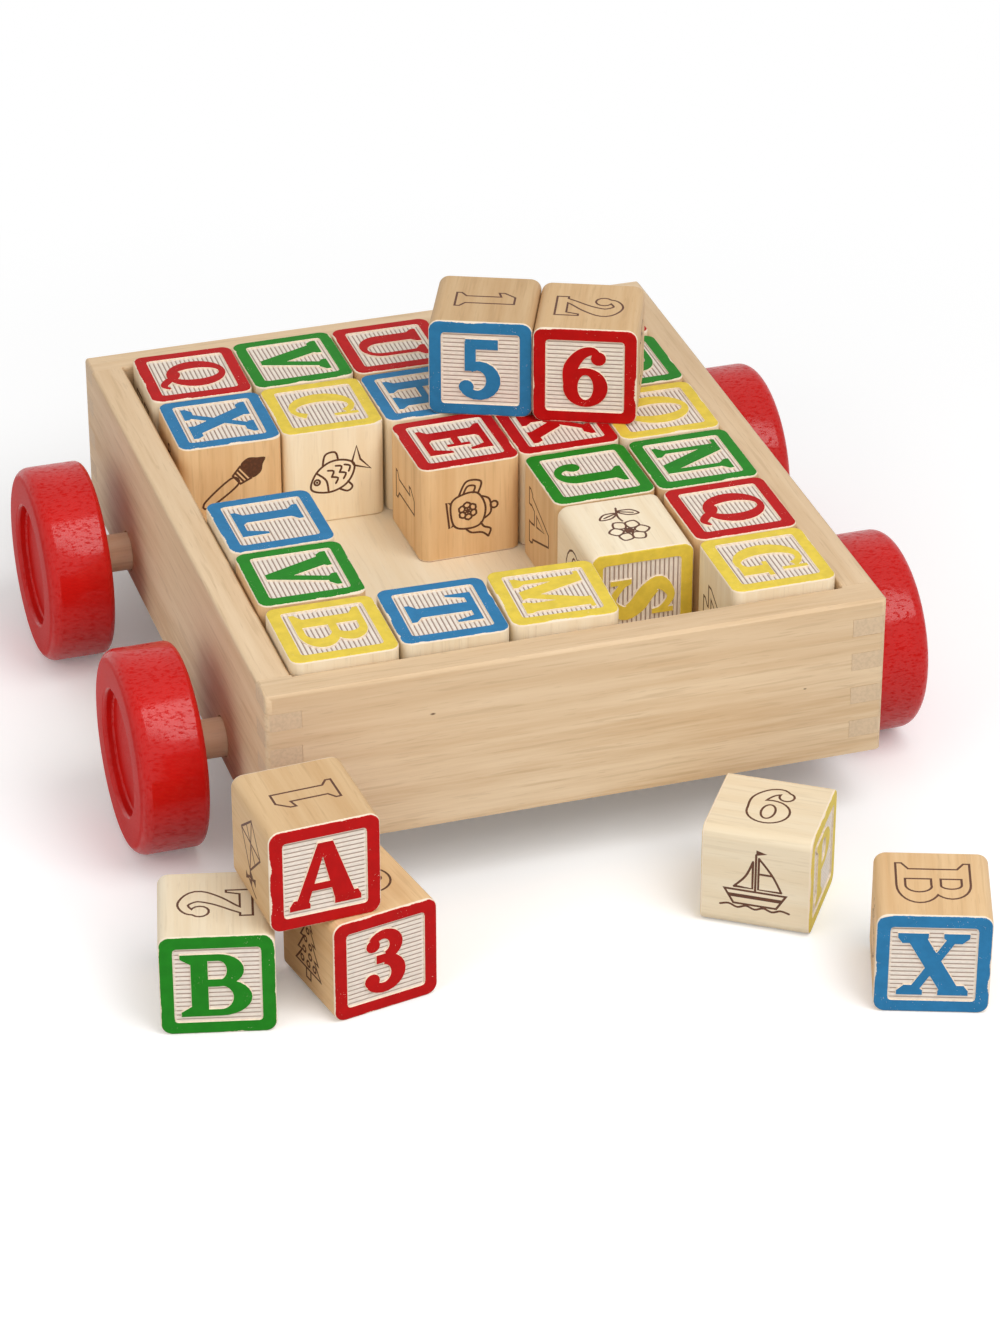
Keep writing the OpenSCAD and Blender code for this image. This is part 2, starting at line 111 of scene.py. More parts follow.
FACINGS = {
    "up": (0, 0, -90),
    "forward": (90, 0, 0),
    "forward_turned": (90, 90, 0),
    "rightward": (90, 0, 90),
}
PAINTS = ("red", "blue", "green", "yellow")

# Line drawings in millimetres about a side's middle, y up
DRAWINGS = {
    "brush": [
        ("loop", -1.2, -14.4, 1.2, -14.4, 2.1, -6, 1.6, 0.4, -1.6, 0.4, -2.1, -6),
        ("shape", -2.3, 0.6, 2.3, 0.6, 3.3, 4.8, -3.3, 4.8),
        ("line", -2.6, 2.0, 2.6, 2.0),
        ("line", -2.9, 3.4, 2.9, 3.4),
        ("solid", -3.2, 5.0, 3.2, 5.0, 4.0, 9.0, 2.0, 11.6, 0.6, 14.0, -1.6, 11.8, -4.0, 9.0),
    ],
    "fish": [
        ("loop", -10.4, 0, -6, 4.6, 0, 5.9, 5, 4, 8, 0, 5, -4, 0, -5.9, -6, -4.6),
        ("shape", 7.7, 0.9, 12.2, 5.6, 10.8, 0, 12.2, -5.6, 7.7, -0.9),
        ("curve", -5.4, 4.4, -4, 0, -5.4, -4.4),
        ("curve", -2.4, 5.7, 0.8, 9.4, 4.4, 8.2, 3.8, 4.8),
        ("curve", -1.6, -5.8, 0.6, -8.6, 3, -8, 2.6, -5.2),
        ("curve", -1.6, 3.2, 0.2, 1.7, -1.6, 0),
        ("curve", -1.6, 0, 0.2, -1.7, -1.6, -3.2),
        ("curve", 1.8, 3.2, 3.6, 1.7, 1.8, 0),
        ("curve", 1.8, 0, 3.6, -1.7, 1.8, -3.2),
        ("curve", 4.8, 1.7, 6.3, 0, 4.8, -1.7),
        ("ring", -7.2, 1.3, 1.1, 1.1),
        ("dot", -7.2, 1.3, 0.5),
    ],
    "teapot": [
        ("loop", -7.2, -2, -6.2, 3.2, 0, 5.4, 6.2, 3.2, 7.2, -2, 4.6, -7.2, -4.6, -7.2),
        ("curve", -4.6, 4.6, -2.6, 7.2, 2.6, 7.2, 4.6, 4.6),
        ("ring", 0, 8.7, 1.4, 1.4),
        ("curve", 6.9, -3, 9.2, -1, 10.2, 3, 12.4, 5.2),
        ("curve", 6, 3, 8, 4, 9.6, 6.4, 12.4, 5.2),
        ("curve", -6.2, 3.2, -10.8, 4.8, -12, -0.6, -6.6, -4.2),
        ("curve", -6.9, 1.4, -9.4, 2.4, -10, -0.4, -7.1, -2.4),
        ("line", -4.6, -7.2, -5.4, -9, 5.4, -9, 4.6, -7.2),
        ("petals", 0, -1.4, 6, 1.2, 3.6, 1.5),
        ("dot", 0, -1.4, 0.9),
    ],
    "flower": [
        ("petals", 0, 4.4, 6, 2.0, 7.4, 2.6),
        ("dot", 0, 4.4, 1.9),
        ("curve", 0.2, -2.6, 0.8, -6.5, -0.4, -12.4),
        ("loop", 0.6, -8.6, 3.4, -5.4, 7.6, -5.2, 5.2, -8.6),
        ("loop", 0.2, -9.8, -3.2, -6.6, -7.2, -6.8, -4.8, -10),
        ("line", 0.6, -8.6, 5.8, -6.2),
        ("line", 0.2, -9.8, -5.4, -7.6),
    ],
    "boat": [
        ("shape", -10.6, -4, 10.6, -4, 7.4, -9.4, -7.4, -9.4),
        ("solid_shape", -9.7, -5.6, 9.7, -5.6, 8.9, -7, -8.9, -7),
        ("line", 0, -4, 0, 11),
        ("line", 1, 9.6, 1, -2.8, 9, -2.8),
        ("curve", 1, 9.6, 5.8, 3.4, 9, -2.8),
        ("line", -1, 8, -1, -2.8, -7.4, -2.8),
        ("curve", -1, 8, -3.4, 2, -7.4, -2.8),
        ("line", 1, 3.4, 5.6, 3.4),
        ("solid_shape", 0, 10.6, 0, 12.8, 3.8, 11.7),
        ("curve", -12, -10.6, -9, -9.9, -6, -11, -3, -10, 0, -11, 3, -10, 6, -11, 9, -10, 12, -10.7),
    ],
    "kite": [
        ("shape", 0, 14.4, 9.4, 5, 0, -6.4, -9.4, 5),
        ("line", 0, 14.4, 0, -6.4),
        ("line", -9.4, 5, 9.4, 5),
        ("line", -4.7, 9.7, 4.7, -0.7),
        ("curve", 0, -6.4, 3.4, -8.2, -1.4, -9.8, 2.6, -11.8, 6.6, -13),
        ("solid_shape", 2.6, -8, 5.6, -6, 5.8, -9.4),
        ("solid_shape", 2.6, -8, -0.4, -6.6, -0.2, -9.8),
        ("solid_shape", -0.8, -10.4, 2.2, -8.8, 2.4, -12),
        ("solid_shape", -0.8, -10.4, -4, -9.2, -3.6, -12.4),
    ],
    "tree": [
        ("shape", 0, 12.6, 3.2, 7.6, 1.8, 7.8, 5.2, 2.6, 3, 2.8, 7.2, -3.4, 4.4, -3.2, 9, -8.8,
         -9, -8.8, -4.4, -3.2, -7.2, -3.4, -3, 2.8, -5.2, 2.6, -1.8, 7.8, -3.2, 7.6),
        ("shape", -1.6, -8.8, 1.6, -8.8, 1.6, -12.4, -1.6, -12.4),
        ("ring", 0, 6.4, 1, 1),
        ("ring", -1.8, 2.4, 1, 1),
        ("ring", 1.6, 0.8, 1, 1),
        ("ring", -2.8, -2.2, 1.1, 1.1),
        ("ring", 1.4, -3.2, 1.1, 1.1),
        ("ring", -4.4, -6.4, 1.1, 1.1),
        ("ring", 0, -6.6, 1.1, 1.1),
        ("ring", 4.4, -6.4, 1.1, 1.1),
    ],
    "bell": [
        ("curve", -8.6, -6.4, -6, -3.6, -5.4, 3, -3.2, 7.4, 0, 8.8, 3.2, 7.4, 5.4, 3, 6, -3.6, 8.6, -6.4),
        ("line", -8.6, -6.4, 8.6, -6.4),
        ("curve", -5.8, -2.4, 0, -1.2, 5.8, -2.4),
        ("curve", -5.6, 0, 0, 1.2, 5.6, 0),
        ("ring", 0, 10.4, 1.6, 1.6),
        ("dot", 0, -8, 1.7),
    ],
    "umbrella": [
        ("curve", -11, -1, -8.6, 6, 0, 9.8, 8.6, 6, 11, -1),
        ("curve", -11, -1, -7.4, 0.9, -3.8, -1, 0, 0.9, 3.8, -1, 7.4, 0.9, 11, -1),
        ("curve", 0, 9.8, -3.2, 5, -3.8, -1),
        ("curve", 0, 9.8, 3.2, 5, 3.8, -1),
        ("line", 0, 9.8, 0, 11.8),
        ("curve", 0, 0.9, 0, -8.6, 1, -11.4, 3.4, -11.4, 4, -9),
    ],
    "mushroom": [
        ("loop", -10, 1, -7.6, 7.4, 0, 10.6, 7.6, 7.4, 10, 1, 5, -0.4, 0, -0.8, -5, -0.4),
        ("curve", -3.4, -0.7, -3, -5, -4.4, -10.6, 0, -11.8, 4.4, -10.6, 3, -5, 3.4, -0.7),
        ("ring", -4.4, 4.4, 1.7, 1.5),
        ("ring", 1.2, 6.6, 1.9, 1.6),
        ("ring", 5.6, 3, 1.4, 1.3),
        ("dot", -0.6, 2.2, 0.7),
    ],
    "leaf": [
        ("loop", 0, 12, 5.4, 6.4, 6.6, -0.4, 3.4, -6, 0, -8, -3.4, -6, -6.6, -0.4, -5.4, 6.4),
        ("curve", 0, 11, 0.3, 0, -0.8, -12.4),
        ("line", 0.2, 6, 3.8, 8),
        ("line", 0.2, 6, -3.6, 8),
        ("line", 0.2, 2, 5, 4.4),
        ("line", 0.2, 2, -4.8, 4.4),
        ("line", 0.1, -2.4, 5, -0.4),
        ("line", 0.1, -2.4, -4.8, -0.4),
    ],
    "apple": [
        ("loop", 0, 5.4, 4.6, 6.8, 8.8, 3.4, 8.4, -3.6, 4.4, -9.6, 0, -8.8,
         -4.4, -9.6, -8.4, -3.6, -8.8, 3.4, -4.6, 6.8),
        ("curve", 0, 5.4, 0.3, 8, 1.8, 11),
        ("loop", 1, 7.8, 4.4, 10.8, 8, 10.4, 5.4, 7.6),
        ("curve", -6.4, 2.6, -6.6, -1, -5.2, -4.6),
        ("dot", 0, -8.9, 0.7),
    ],
    "star": [
        ("shape", 0, 12, 2.9, 4, 11.4, 3.7, 4.7, -1.5, 7, -9.7, 0, -5,
         -7, -9.7, -4.7, -1.5, -11.4, 3.7, -2.9, 4),
        ("shape", 0, 6, 1.5, 2.1, 5.7, 1.9, 2.4, -0.8, 3.5, -4.9, 0, -2.5,
         -3.5, -4.9, -2.4, -0.8, -5.7, 1.9, -1.5, 2.1),
    ],
    "sun": [
        ("ring", 0, 0, 5.4, 5.4),
        ("rays", 0, 0, 12, 7, 11.6),
        ("ring", 0, 0, 3.4, 3.4),
    ],
    "moon": [
        ("loop", 4, 10.6, -2.6, 10, -8, 4, -8, -4, -2.6, -10, 4, -10.6,
         8.4, -8, 2.6, -6.4, -1, 0, 2.6, 6.4, 8.4, 8),
        ("ring", 6.4, 2.4, 1, 1),
        ("ring", 8.4, -2.4, 0.7, 0.7),
        ("dot", 4.6, -1.2, 0.6),
    ],
    "house": [
        ("shape", -8, -10, 8, -10, 8, 2, -8, 2),
        ("shape", -10.4, 2, 10.4, 2, 0, 11.4),
        ("shape", -2, -10, 2.4, -10, 2.4, -2.6, -2, -2.6),
        ("shape", 4, -4.4, 6.8, -4.4, 6.8, -1, 4, -1),
        ("shape", -6.8, -4.4, -3.8, -4.4, -3.8, -1, -6.8, -1),
        ("line", 4.6, 7.3, 4.6, 10.8, 7.2, 10.8, 7.2, 4.9),
        ("dot", 1.5, -6.4, 0.5),
    ],
    "balloon": [
        ("loop", 0, 12.2, 5.8, 9.4, 6.6, 4, 3.4, -1.6, 0, -3.6, -3.4, -1.6, -6.6, 4, -5.8, 9.4),
        ("shape", 0, -3.6, 1.3, -5.6, -1.3, -5.6),
        ("curve", 0, -5.6, 1.4, -8, -1.2, -10, 0.6, -12.4),
        ("curve", -4, 8.4, -4.6, 5.6, -3.8, 3),
    ],
    "cup": [
        ("curve", -8, 3, -7.4, -4, -4.4, -8.8, 2.4, -8.8, 5.4, -4, 6, 3),
        ("ring", -1, 3, 7, 1.7),
        ("curve", 5.9, 1.6, 10.4, 1.8, 10.2, -3.4, 4.8, -5),
        ("line", -6.6, -10.2, 4.6, -10.2),
        ("curve", -3, 6, -1.8, 7.8, -3.2, 9.6, -2, 11.6),
        ("curve", 1, 6, 2.2, 7.8, 0.8, 9.6, 2, 11.6),
    ],
}
# How far a drawing is tilted, in degrees, and moved right and up
TILTS = {"brush": (-52, 1, 3.5), "fish": (28, 0, 0), "kite": (-8, 0, 0), "leaf": (-18, 0, 0), "teapot": (6, 0, 0)}

# Drawings and outlined letters on the sides that show: side, what is drawn and where its top points
SIDE_ART = {
    "block_x_blue_1": {"+x": ("brush", "+z")},
    "block_c_yellow": {"+x": ("fish", "+z")},
    "block_e_red": {"+x": ("teapot", "+y"), "-y": ("1", "+x")},
    "block_j_green": {"-y": ("A", "+x"), "+x": ("sun", "+z")},
    "block_s_yellow": {"-x": ("flower", "+z"), "-y": ("C", "-x")},
    "block_g_yellow": {"-y": ("4", "+x")},
    "block_5_blue": {"+y": ("1", "+x"), "-x": ("star", "+y"), "+x": ("moon", "+y")},
    "block_6_red": {"+y": ("2", "+x"), "+x": ("apple", "+y"), "-x": ("house", "+y")},
    "block_a_red": {"+y": ("1", "-x"), "-x": ("kite", "+y"), "+x": ("umbrella", "+y")},
    "block_b_green": {"+y": ("2", "-x"), "-x": ("mushroom", "+y"), "+x": ("sun", "+y")},
    "block_3_red": {"+y": ("9", "+x"), "-x": ("tree", "+y"), "+x": ("leaf", "+y")},
    "block_p_yellow": {"+y": ("6", "+x"), "-x": ("boat", "+y")},
    "block_x_blue_2": {"+y": ("B", "+x"), "-x": ("cup", "+y"), "+x": ("balloon", "+y")},
}
SIDES = {"+x": (1, 0, 0), "+y": (0, 1, 0), "-x": (-1, 0, 0), "-y": (0, -1, 0)}
AXES = {**SIDES, "+z": (0, 0, 1)}
OTHER_LETTERS = "HMEKRTDGNSWAPBZFUXYCLVQ"
OTHER_DRAWINGS = tuple(DRAWINGS)
DRAWN_SIZES = {"2": 1.13, "B": 1.13}

# How much lighter or darker than its kind a block's wood is. The lighter values, on the blocks inside the tray, are
# painted light that lifts them out of the tray's shade; the darker values, and the small spread of the blocks not
# listed, are the wood's own tone.
TONES_AND_PAINTED_LIGHT = {
    "block_x_blue_1": 0.1,
    "block_c_yellow": 0.1,
    "block_e_red": 0.08,
    "block_s_yellow": 0.06,
    "block_5_blue": -0.16,
    "block_6_red": -0.08,
    "block_b_green": -0.02,
    "block_a_red": -0.1,
}

# Materials of a block in the order of its mesh's slots
WOOD, PAINT, BARE, PANEL, INK = range(5)

# Steps round a block's long edges, its sunk panels' corners and its embossed faces' rims
CORNER_STEPS, PANEL_STEPS, END_STEPS = 10, 4, 3

# Walls: node, axis of the grain and how much lighter than their kind
WALLS = (("front_wall", 0, 0.0), ("rear_wall", 0, 0.03), ("left_wall", 1, 0.03), ("right_wall", 1, 0.0))
WALL_STREAK = 0.75

# Pin knots in the front wall: place along X, height and radius in metres
PIN_KNOTS = ((-0.04104, 0.07011, 0.0008), (0.09261, 0.05554, 0.0006))

# Wheels, with the fillet in their recess and the chamfer at their bore's mouth in millimetres
WHEELS = ("front_left_wheel", "front_right_wheel", "rear_left_wheel", "rear_right_wheel")
RECESS_FILLET = 1.0
BORE_CHAMFER = 0.6

# Lamps: name, setting of the power, offset from the aim and size in metres, and whether gloss shows it
LAMPS = (
    ("overhead_lamp", "key", (0.38, -0.82, 1.32), (0.8, 1.2), True),
    ("front_lamp", "front", (-0.18, -1.62, 0.81), (1.2, 1.2), False),
    ("side_lamp", "side", (-1.22, -0.7, 0.75), (0.9, 0.9), False),
)
# Half length of the floor and its height, a hair under the wheels, in metres
FLOOR_REACH, FLOOR_Z = 4.0, -0.0001


def srgb(red, green, blue):
    """A colour read off a picture, as linear red, green and blue."""
    parts = (red / 255, green / 255, blue / 255)
    return tuple(c / 12.92 if c <= 0.04045 else ((c + 0.055) / 1.055) ** 2.4 for c in parts)


def length_property(name, description, default):
    """A length setting in metres."""
    return bpy.props.FloatProperty(name=name, description=description, default=default, unit="LENGTH", precision=5)


def colour_property(name, description, default):
    """A colour setting."""
    return bpy.props.FloatVectorProperty(
        name=name, description=description, default=default, size=3, subtype="COLOR", min=0, max=1
    )


class BlockSettings(bpy.types.PropertyGroup):
    """Sizes and colours of the blocks."""

    edge_round: length_property("Edge rounding", "Rounding of the four long edges", 4 * MM)
    end_round: length_property("End rounding", "Rounding round the two embossed faces", 0.7 * MM)
    panel: length_property("Panel width", "Width of the sunk ribbed panel", 28.5 * MM)
    panel_round: length_property("Panel corner", "Corner rounding of the sunk panel", 1.2 * MM)
    relief: length_property("Relief", "Depth of the panel under the letter", 1 * MM)
    ease: length_property("Letter ease", "Width of the worn edge of a letter", 0.15 * MM)
    rib_pitch: length_property("Rib pitch", "Distance from rib to rib in the panel", 28.5 / 17 * MM)
    rib_groove: length_property("Rib groove", "Half width of the groove between two ribs", 0.36 * MM)
    rib_height: length_property("Rib height", "Height of a rib over the groove", 0.45 * MM)
    ink_width: length_property("Ink line", "Width of the drawn lines", 0.8 * MM)
    letter_scale: bpy.props.FloatProperty(
        name="Drawn letter", description="Height of an outlined letter against an embossed one", default=0.88
    )
    red: colour_property("Red", "Red letter paint", srgb(184, 17, 17))
    blue: colour_property("Blue", "Blue letter paint", srgb(48, 121, 168))
    green: colour_property("Green", "Green letter paint", srgb(34, 128, 30))
    yellow: colour_property("Yellow", "Yellow letter paint", srgb(230, 202, 76))
    tan_light: colour_property("Tan wood", "Light tone of the darker blocks", srgb(232, 198, 152))
    tan_deep: colour_property("Tan grain", "Grain tone of the darker blocks", srgb(212, 170, 120))
    pale_light: colour_property("Pale wood", "Light tone of the paler blocks", srgb(243, 229, 202))
    pale_deep: colour_property("Pale grain", "Grain tone of the paler blocks", srgb(232, 211, 176))
    bare: colour_property("Worn edge", "Bare wood at worn paint", srgb(242, 224, 200))
    rib: colour_property("Ribs", "Cream wood of the ribs", srgb(240, 228, 214))
    # The groove colour is painted shade: darker than the ribs for the shade that falls in the grooves
    groove: colour_property("Rib grooves", "Shaded wood between the ribs", srgb(176, 150, 136))
    ink: colour_property("Ink", "Brown of the drawn lines", srgb(80, 44, 24))


class TraySettings(bpy.types.PropertyGroup):
    """Sizes and colours of the tray and its axles."""

    seam: length_property("Seam", "Chamfer along the finger joints", 0.16 * MM)
    light: colour_property("Wood", "Light tone of the walls", srgb(233, 207, 172))
    deep: colour_property("Grain", "Grain tone of the walls", srgb(207, 173, 132))
    end_grain: colour_property("End grain", "Tone of the fingers' ends", srgb(218, 191, 158))
    knot: colour_property("Pin knot", "Tone of the two pin knots", srgb(84, 52, 30))
    floor_light: colour_property("Floor", "Light tone of the floor panel", srgb(246, 232, 206))
    floor_deep: colour_property("Floor grain", "Grain tone of the floor panel", srgb(238, 218, 184))
    # Both axle tones are lighter than the dowel's own wood: painted light that lifts the axles out of the shade of
    # the wheels and tray
    dowel_light: colour_property("Dowel", "Light tone of the axles", srgb(250, 224, 190))
    dowel_deep: colour_property("Dowel grain", "Grain tone of the axles", srgb(238, 204, 164))


class WheelSettings(bpy.types.PropertyGroup):
    """Sizes and colour of the wheels."""

    outer_round: length_property("Outer rounding", "Rounding of the tread's outer edge", 4.6 * MM)
    inner_round: length_property("Inner rounding", "Rounding of the tread's inner edge", 2.6 * MM)
    recess_radius: length_property("Recess radius", "Radius of the round recess", 22 * MM)
    recess_depth: length_property("Recess depth", "Depth of the round recess", 4 * MM)
    lip_round: length_property("Lip rounding", "Rounding of the recess's lip", 1.6 * MM)
    bore_radius: length_property("Bore radius", "Radius of the blind hole for the axle", 7.1 * MM)
    bore_depth: length_property("Bore depth", "Depth of the blind hole for the axle", 14 * MM)
    segments: bpy.props.IntProperty(name="Segments", description="Steps round a wheel", default=128, min=48)
    paint: colour_property("Paint", "Red of the wheels", srgb(198, 18, 12))


class StageSettings(bpy.types.PropertyGroup):
    """Camera, floor and light."""

    aim: bpy.props.FloatVectorProperty(
        name="Aim", description="Point in the picture's middle", default=(0.01208, 0.02549, 0.0264), unit="LENGTH"
    )
    azimuth: bpy.props.FloatProperty(
        name="Azimuth", description="Camera's turn from the front", default=math.radians(-17.644), unit="ROTATION"
    )
    elevation: bpy.props.FloatProperty(
        name="Elevation", description="Camera's rise over the floor", default=math.radians(30.709), unit="ROTATION"
    )
    distance: length_property("Distance", "From the camera to the aim", 1.64192)
    lens: bpy.props.FloatProperty(
        name="Lens", description="Focal length on a 36 mm long side", default=123.39, unit="CAMERA"
    )
    floor: colour_property("Floor", "Plain pale floor", (0.6, 0.6, 0.6))
    fill: bpy.props.FloatProperty(name="Fill", description="Strength of the even light all round", default=0.51)
    white: colour_property("White floor", "The floor as the camera sees it", (1.0, 1.0, 1.0))
    lift: bpy.props.FloatProperty(
        name="Lift", description="How much whiter than its light the floor looks", default=0.12
    )
    key: bpy.props.FloatProperty(name="Key", description="Power of the lamp overhead", default=12.5, unit="POWER")
    front: bpy.props.FloatProperty(name="Front", description="Power of the lamp in front", default=4, unit="POWER")
    side: bpy.props.FloatProperty(name="Side", description="Power of the lamp at the left", default=5, unit="POWER")


class Wire:
    """A shader socket in Python expressions: operators add Math nodes, node() adds any other node."""

    def __init__(self, tree, socket=None):
        self.tree = tree
        self.socket = socket

    def node(self, kind, settings=None, inputs=None, out=0):
        """Adds a node with its settings, then its sockets' values or links, and wraps one of its outputs."""
        made = self.tree.nodes.new(kind)
        for name, value in (settings or {}).items():
            setattr(made, name, value)
        for name, value in (inputs or {}).items():
            if isinstance(name, int):
                socket = made.inputs[name]
            else:
                socket = next(s for s in made.inputs if s.name == name and s.enabled)
            if isinstance(value, Wire):
                self.tree.links.new(value.socket, socket)
            else:
                socket.default_value = value
        if not made.outputs:
            return None
        if isinstance(out, int):
            return Wire(self.tree, made.outputs[out])
        return Wire(self.tree, next(s for s in made.outputs if s.name == out and s.enabled))

    def math(self, operation, *others):
        """A Math node of this value and others."""
        return self.node("ShaderNodeMath", {"operation": operation}, dict(enumerate((self, *others))))

    def __add__(self, other):
        return self.math("ADD", other)

    __radd__ = __add__

    def __sub__(self, other):
        return self.math("SUBTRACT", other)

    def __rsub__(self, other):
        return self.node("ShaderNodeMath", {"operation": "SUBTRACT"}, {0: other, 1: self})

    def __mul__(self, other):
        return self.math("MULTIPLY", other)

    __rmul__ = __mul__

    def __truediv__(self, other):
        return self.math("DIVIDE", other)

    def __abs__(self):
        return self.math("ABSOLUTE")

    def smooth(self, low, high):
        """0 below low and 1 above high, with a soft step between."""
        return self.node(
            "ShaderNodeMapRange",
            {"interpolation_type": "SMOOTHSTEP"},
            {"Value": self, "From Min": low, "From Max": high},
        )

    def mix(self, zero, one):
        """The colour that goes from zero to one as this value does."""
        return self.node(
            "ShaderNodeMix",
            {"data_type": "RGBA", "clamp_factor": True},
            {"Factor": self, "A": paint_tuple(zero), "B": paint_tuple(one)},
            "Result",
        )

    def vector(self, operation, *others, out="Vector"):
        """A Vector Math node of this vector and others."""
        return self.node("ShaderNodeVectorMath", {"operation": operation}, dict(enumerate((self, *others))), out)

    def times(self, value):
        """This colour times a value."""
        return self.node("ShaderNodeVectorMath", {"operation": "SCALE"}, {0: self, "Scale": value}, "Vector")

    def along(self, axis):
        """This vector's reach along an axis."""
        return self.vector("DOT_PRODUCT", axis, out="Value")

    def noise(self, scale, detail=2.0, roughness=0.5):
        """Noise at this place."""
        return self.node(
            "ShaderNodeTexNoise", None, {"Vector": self, "Scale": scale, "Detail": detail, "Roughness": roughness}
        )


def paint_tuple(colour):
    """A colour that a socket takes: a wire as it is, or red, green, blue and alpha."""
    return colour if isinstance(colour, Wire) else (*colour[:3], 1.0)


def dimmed(colour, factor):
    """A colour times a number."""
    return tuple(c * factor for c in colour)


def shaded(name, build):
    """A material: build takes a wire and gives what the surface's sockets hold."""
    material = bpy.data.materials.new(name)
    material.use_nodes = True
    material.node_tree.nodes.clear()
    wire = Wire(material.node_tree)
    surface = wire.node("ShaderNodeBsdfPrincipled", None, build(wire))
    wire.node("ShaderNodeOutputMaterial", None, {"Surface": surface})
    return material


def bumped(wire, height, strength, distance):
    """A normal that follows a height."""
    return wire.node("ShaderNodeBump", None, {"Height": height, "Strength": strength, "Distance": distance}, "Normal")


def own_place(wire):
    """A place on the piece, and that place moved by its batch so that no two pieces share their grain."""
    place = wire.node("ShaderNodeTexCoord", None, None, "Object")
    batch = wire.node("ShaderNodeAttribute", {"attribute_name": "batch"}, None, "Vector")
    return place, place.vector("ADD", batch)


def drawn_out(along, share, across=1.0):
    """A scale for places that draws a pattern out along one axis."""
    return tuple(share if i == along else across for i in range(3))


def wood(name, light, deep, along, end_grain, streak=1.0, knots=(), knot_colour=(0, 0, 0), lively=None):
    """Sanded wood with its grain along one axis of the piece: 0, 1 or 2."""
    axis = tuple(float(i == along) for i in range(3))
    across = tuple(0.0 if i == along else (1.0, 0.62, 0.85)[i] for i in range(3))

    def build(wire):
        place, spot = own_place(wire)
        facing = wire.node("ShaderNodeTexCoord", None, None, "Normal")
        # Per-piece lightness: the wood's tone, and painted light on the blocks lifted out of the tray's shade
        shade = wire.node("ShaderNodeAttribute", {"attribute_name": "shade"}, None, "Fac")
        grain = spot.vector("MULTIPLY", drawn_out(along, 0.045))
        swell = grain.noise(38, 2.0)
        streaks = grain.noise(175, 4.0, 0.62)
        fibres = grain.noise(950, 2.0, 0.55)
        wave = grain.along(across) * 520 + swell * 26
        swing = (streaks * 1.5 + swell * 0.7 + wave.math("SINE") * 0.1 + fibres * 0.5 - 1.35) * streak
        if lively:
            low, high = lively
            rise = place.along((0, 0, 1)).smooth(low, high)
            swing = swing * (1.6 - rise * 0.95) - (1 - rise) * 0.14
        colour = (swing + 0.5).smooth(0.0, 1.0).mix(light, deep)
        pores = spot.vector("MULTIPLY", drawn_out(along, 0.09)).noise(1500, 1.0).smooth(0.63, 0.76)
        colour = (pores * 0.22).mix(colour, dimmed(deep, 0.74))
        dashes = spot.vector("MULTIPLY", drawn_out(along, 0.05)).noise(640, 2.0).smooth(0.57, 0.68)
        colour = (dashes * (0.42 * streak)).mix(colour, dimmed(deep, 0.82))
        speckle = spot.noise(900, 2.0, 0.6)
        ends = speckle.smooth(0.3, 0.75).mix(end_grain, dimmed(end_grain, 0.88))
        colour = abs(facing.along(axis)).smooth(0.8, 0.97).mix(colour, ends)
        for centre, radius in knots:
            reach = place.vector("SUBTRACT", centre).vector("MULTIPLY", drawn_out(along, 0.55, 1.2))
            reach = reach.vector("LENGTH", out="Value") + fibres * 0.0005
            colour = (1 - reach.smooth(radius * 0.5, radius * 1.25)).mix(colour, knot_colour)
        return {
            "Base Color": colour.times(shade + 1),
            "Roughness": 0.5 + fibres * 0.16,
            "Specular IOR Level": 0.3,
            "Normal": bumped(wire, fibres * 0.6 - pores * 0.7, 0.22, 0.00012),
        }

    return shaded(name, build)


def letter_paint(name, colour, bare, half, round_radius):
    """Letter paint that is worn through to the wood along the block's edges."""

    def build(wire):
        place, spot = own_place(wire)
        over_x = abs(place.along((1, 0, 0))) - (half - round_radius)
        over_y = abs(place.along((0, 1, 0))) - (half - round_radius)
        corner_x, corner_y = over_x.math("MAXIMUM", 0.0), over_y.math("MAXIMUM", 0.0)
        corner = (corner_x * corner_x + corner_y * corner_y).math("SQRT")
        flat = over_x.math("MAXIMUM", over_y).math("MINIMUM", 0.0)
        margin = round_radius - corner - flat
        wear = spot.noise(90, 2.0).smooth(0.52, 0.75)
        ragged = spot.noise(1100, 3.0, 0.65) * (0.0003 + wear * 0.0012)
        painted = (margin - ragged).smooth(0.00006, 0.00016)
        chips = spot.noise(2400, 2.0).smooth(0.71, 0.74) * spot.noise(160, 1.0).smooth(0.55, 0.62)
        cover = painted * (1 - chips)
        cloud = spot.noise(240, 3.0, 0.6)
        skin = cloud.smooth(0.3, 0.7).mix(dimmed(colour, 0.92), dimmed(colour, 1.05))
        grit = spot.noise(1900, 2.0, 0.6)
        return {
            "Base Color": cover.mix(bare, skin),
            "Roughness": 0.62 - cover * 0.18 + grit * 0.1,
            "Specular IOR Level": 0.1,
            "Normal": bumped(wire, grit * 0.5 + cover * 0.6, 0.3, 0.00012),
        }

    return shaded(name, build)


def ribbed_panel(name, rib, groove, pitch, groove_half, half):
    """Cream ribs with painted shade in the grooves between them, fading at the panel's edge."""

    def build(wire):
        place, spot = own_place(wire)
        turn = place.along((0, 1, 0)) / pitch + 0.5
        offset = abs(turn.math("FRACT") - 0.5) * pitch
        cloud = spot.noise(420, 3.0, 0.6)
        cut = (offset + cloud * 0.00016).smooth(groove_half * 0.35, groove_half * 1.25)
        reach = abs(place.along((1, 0, 0))).math("MAXIMUM", abs(place.along((0, 1, 0))))
        cut = cut.math("MAXIMUM", reach.smooth(half - 0.0009, half - 0.0004))
        ribs = cloud.smooth(0.35, 0.7).mix(rib, dimmed(rib, 0.9))
        return {
            # Painted shade: the groove colour darkens the grooves between the ribs
            "Base Color": cut.mix(groove, ribs),
            "Roughness": 0.6 + cloud * 0.15,
            "Specular IOR Level": 0.25,
            "Normal": bumped(wire, spot.noise(1700, 2.0), 0.25, 0.0001),
        }

    return shaded(name, build)


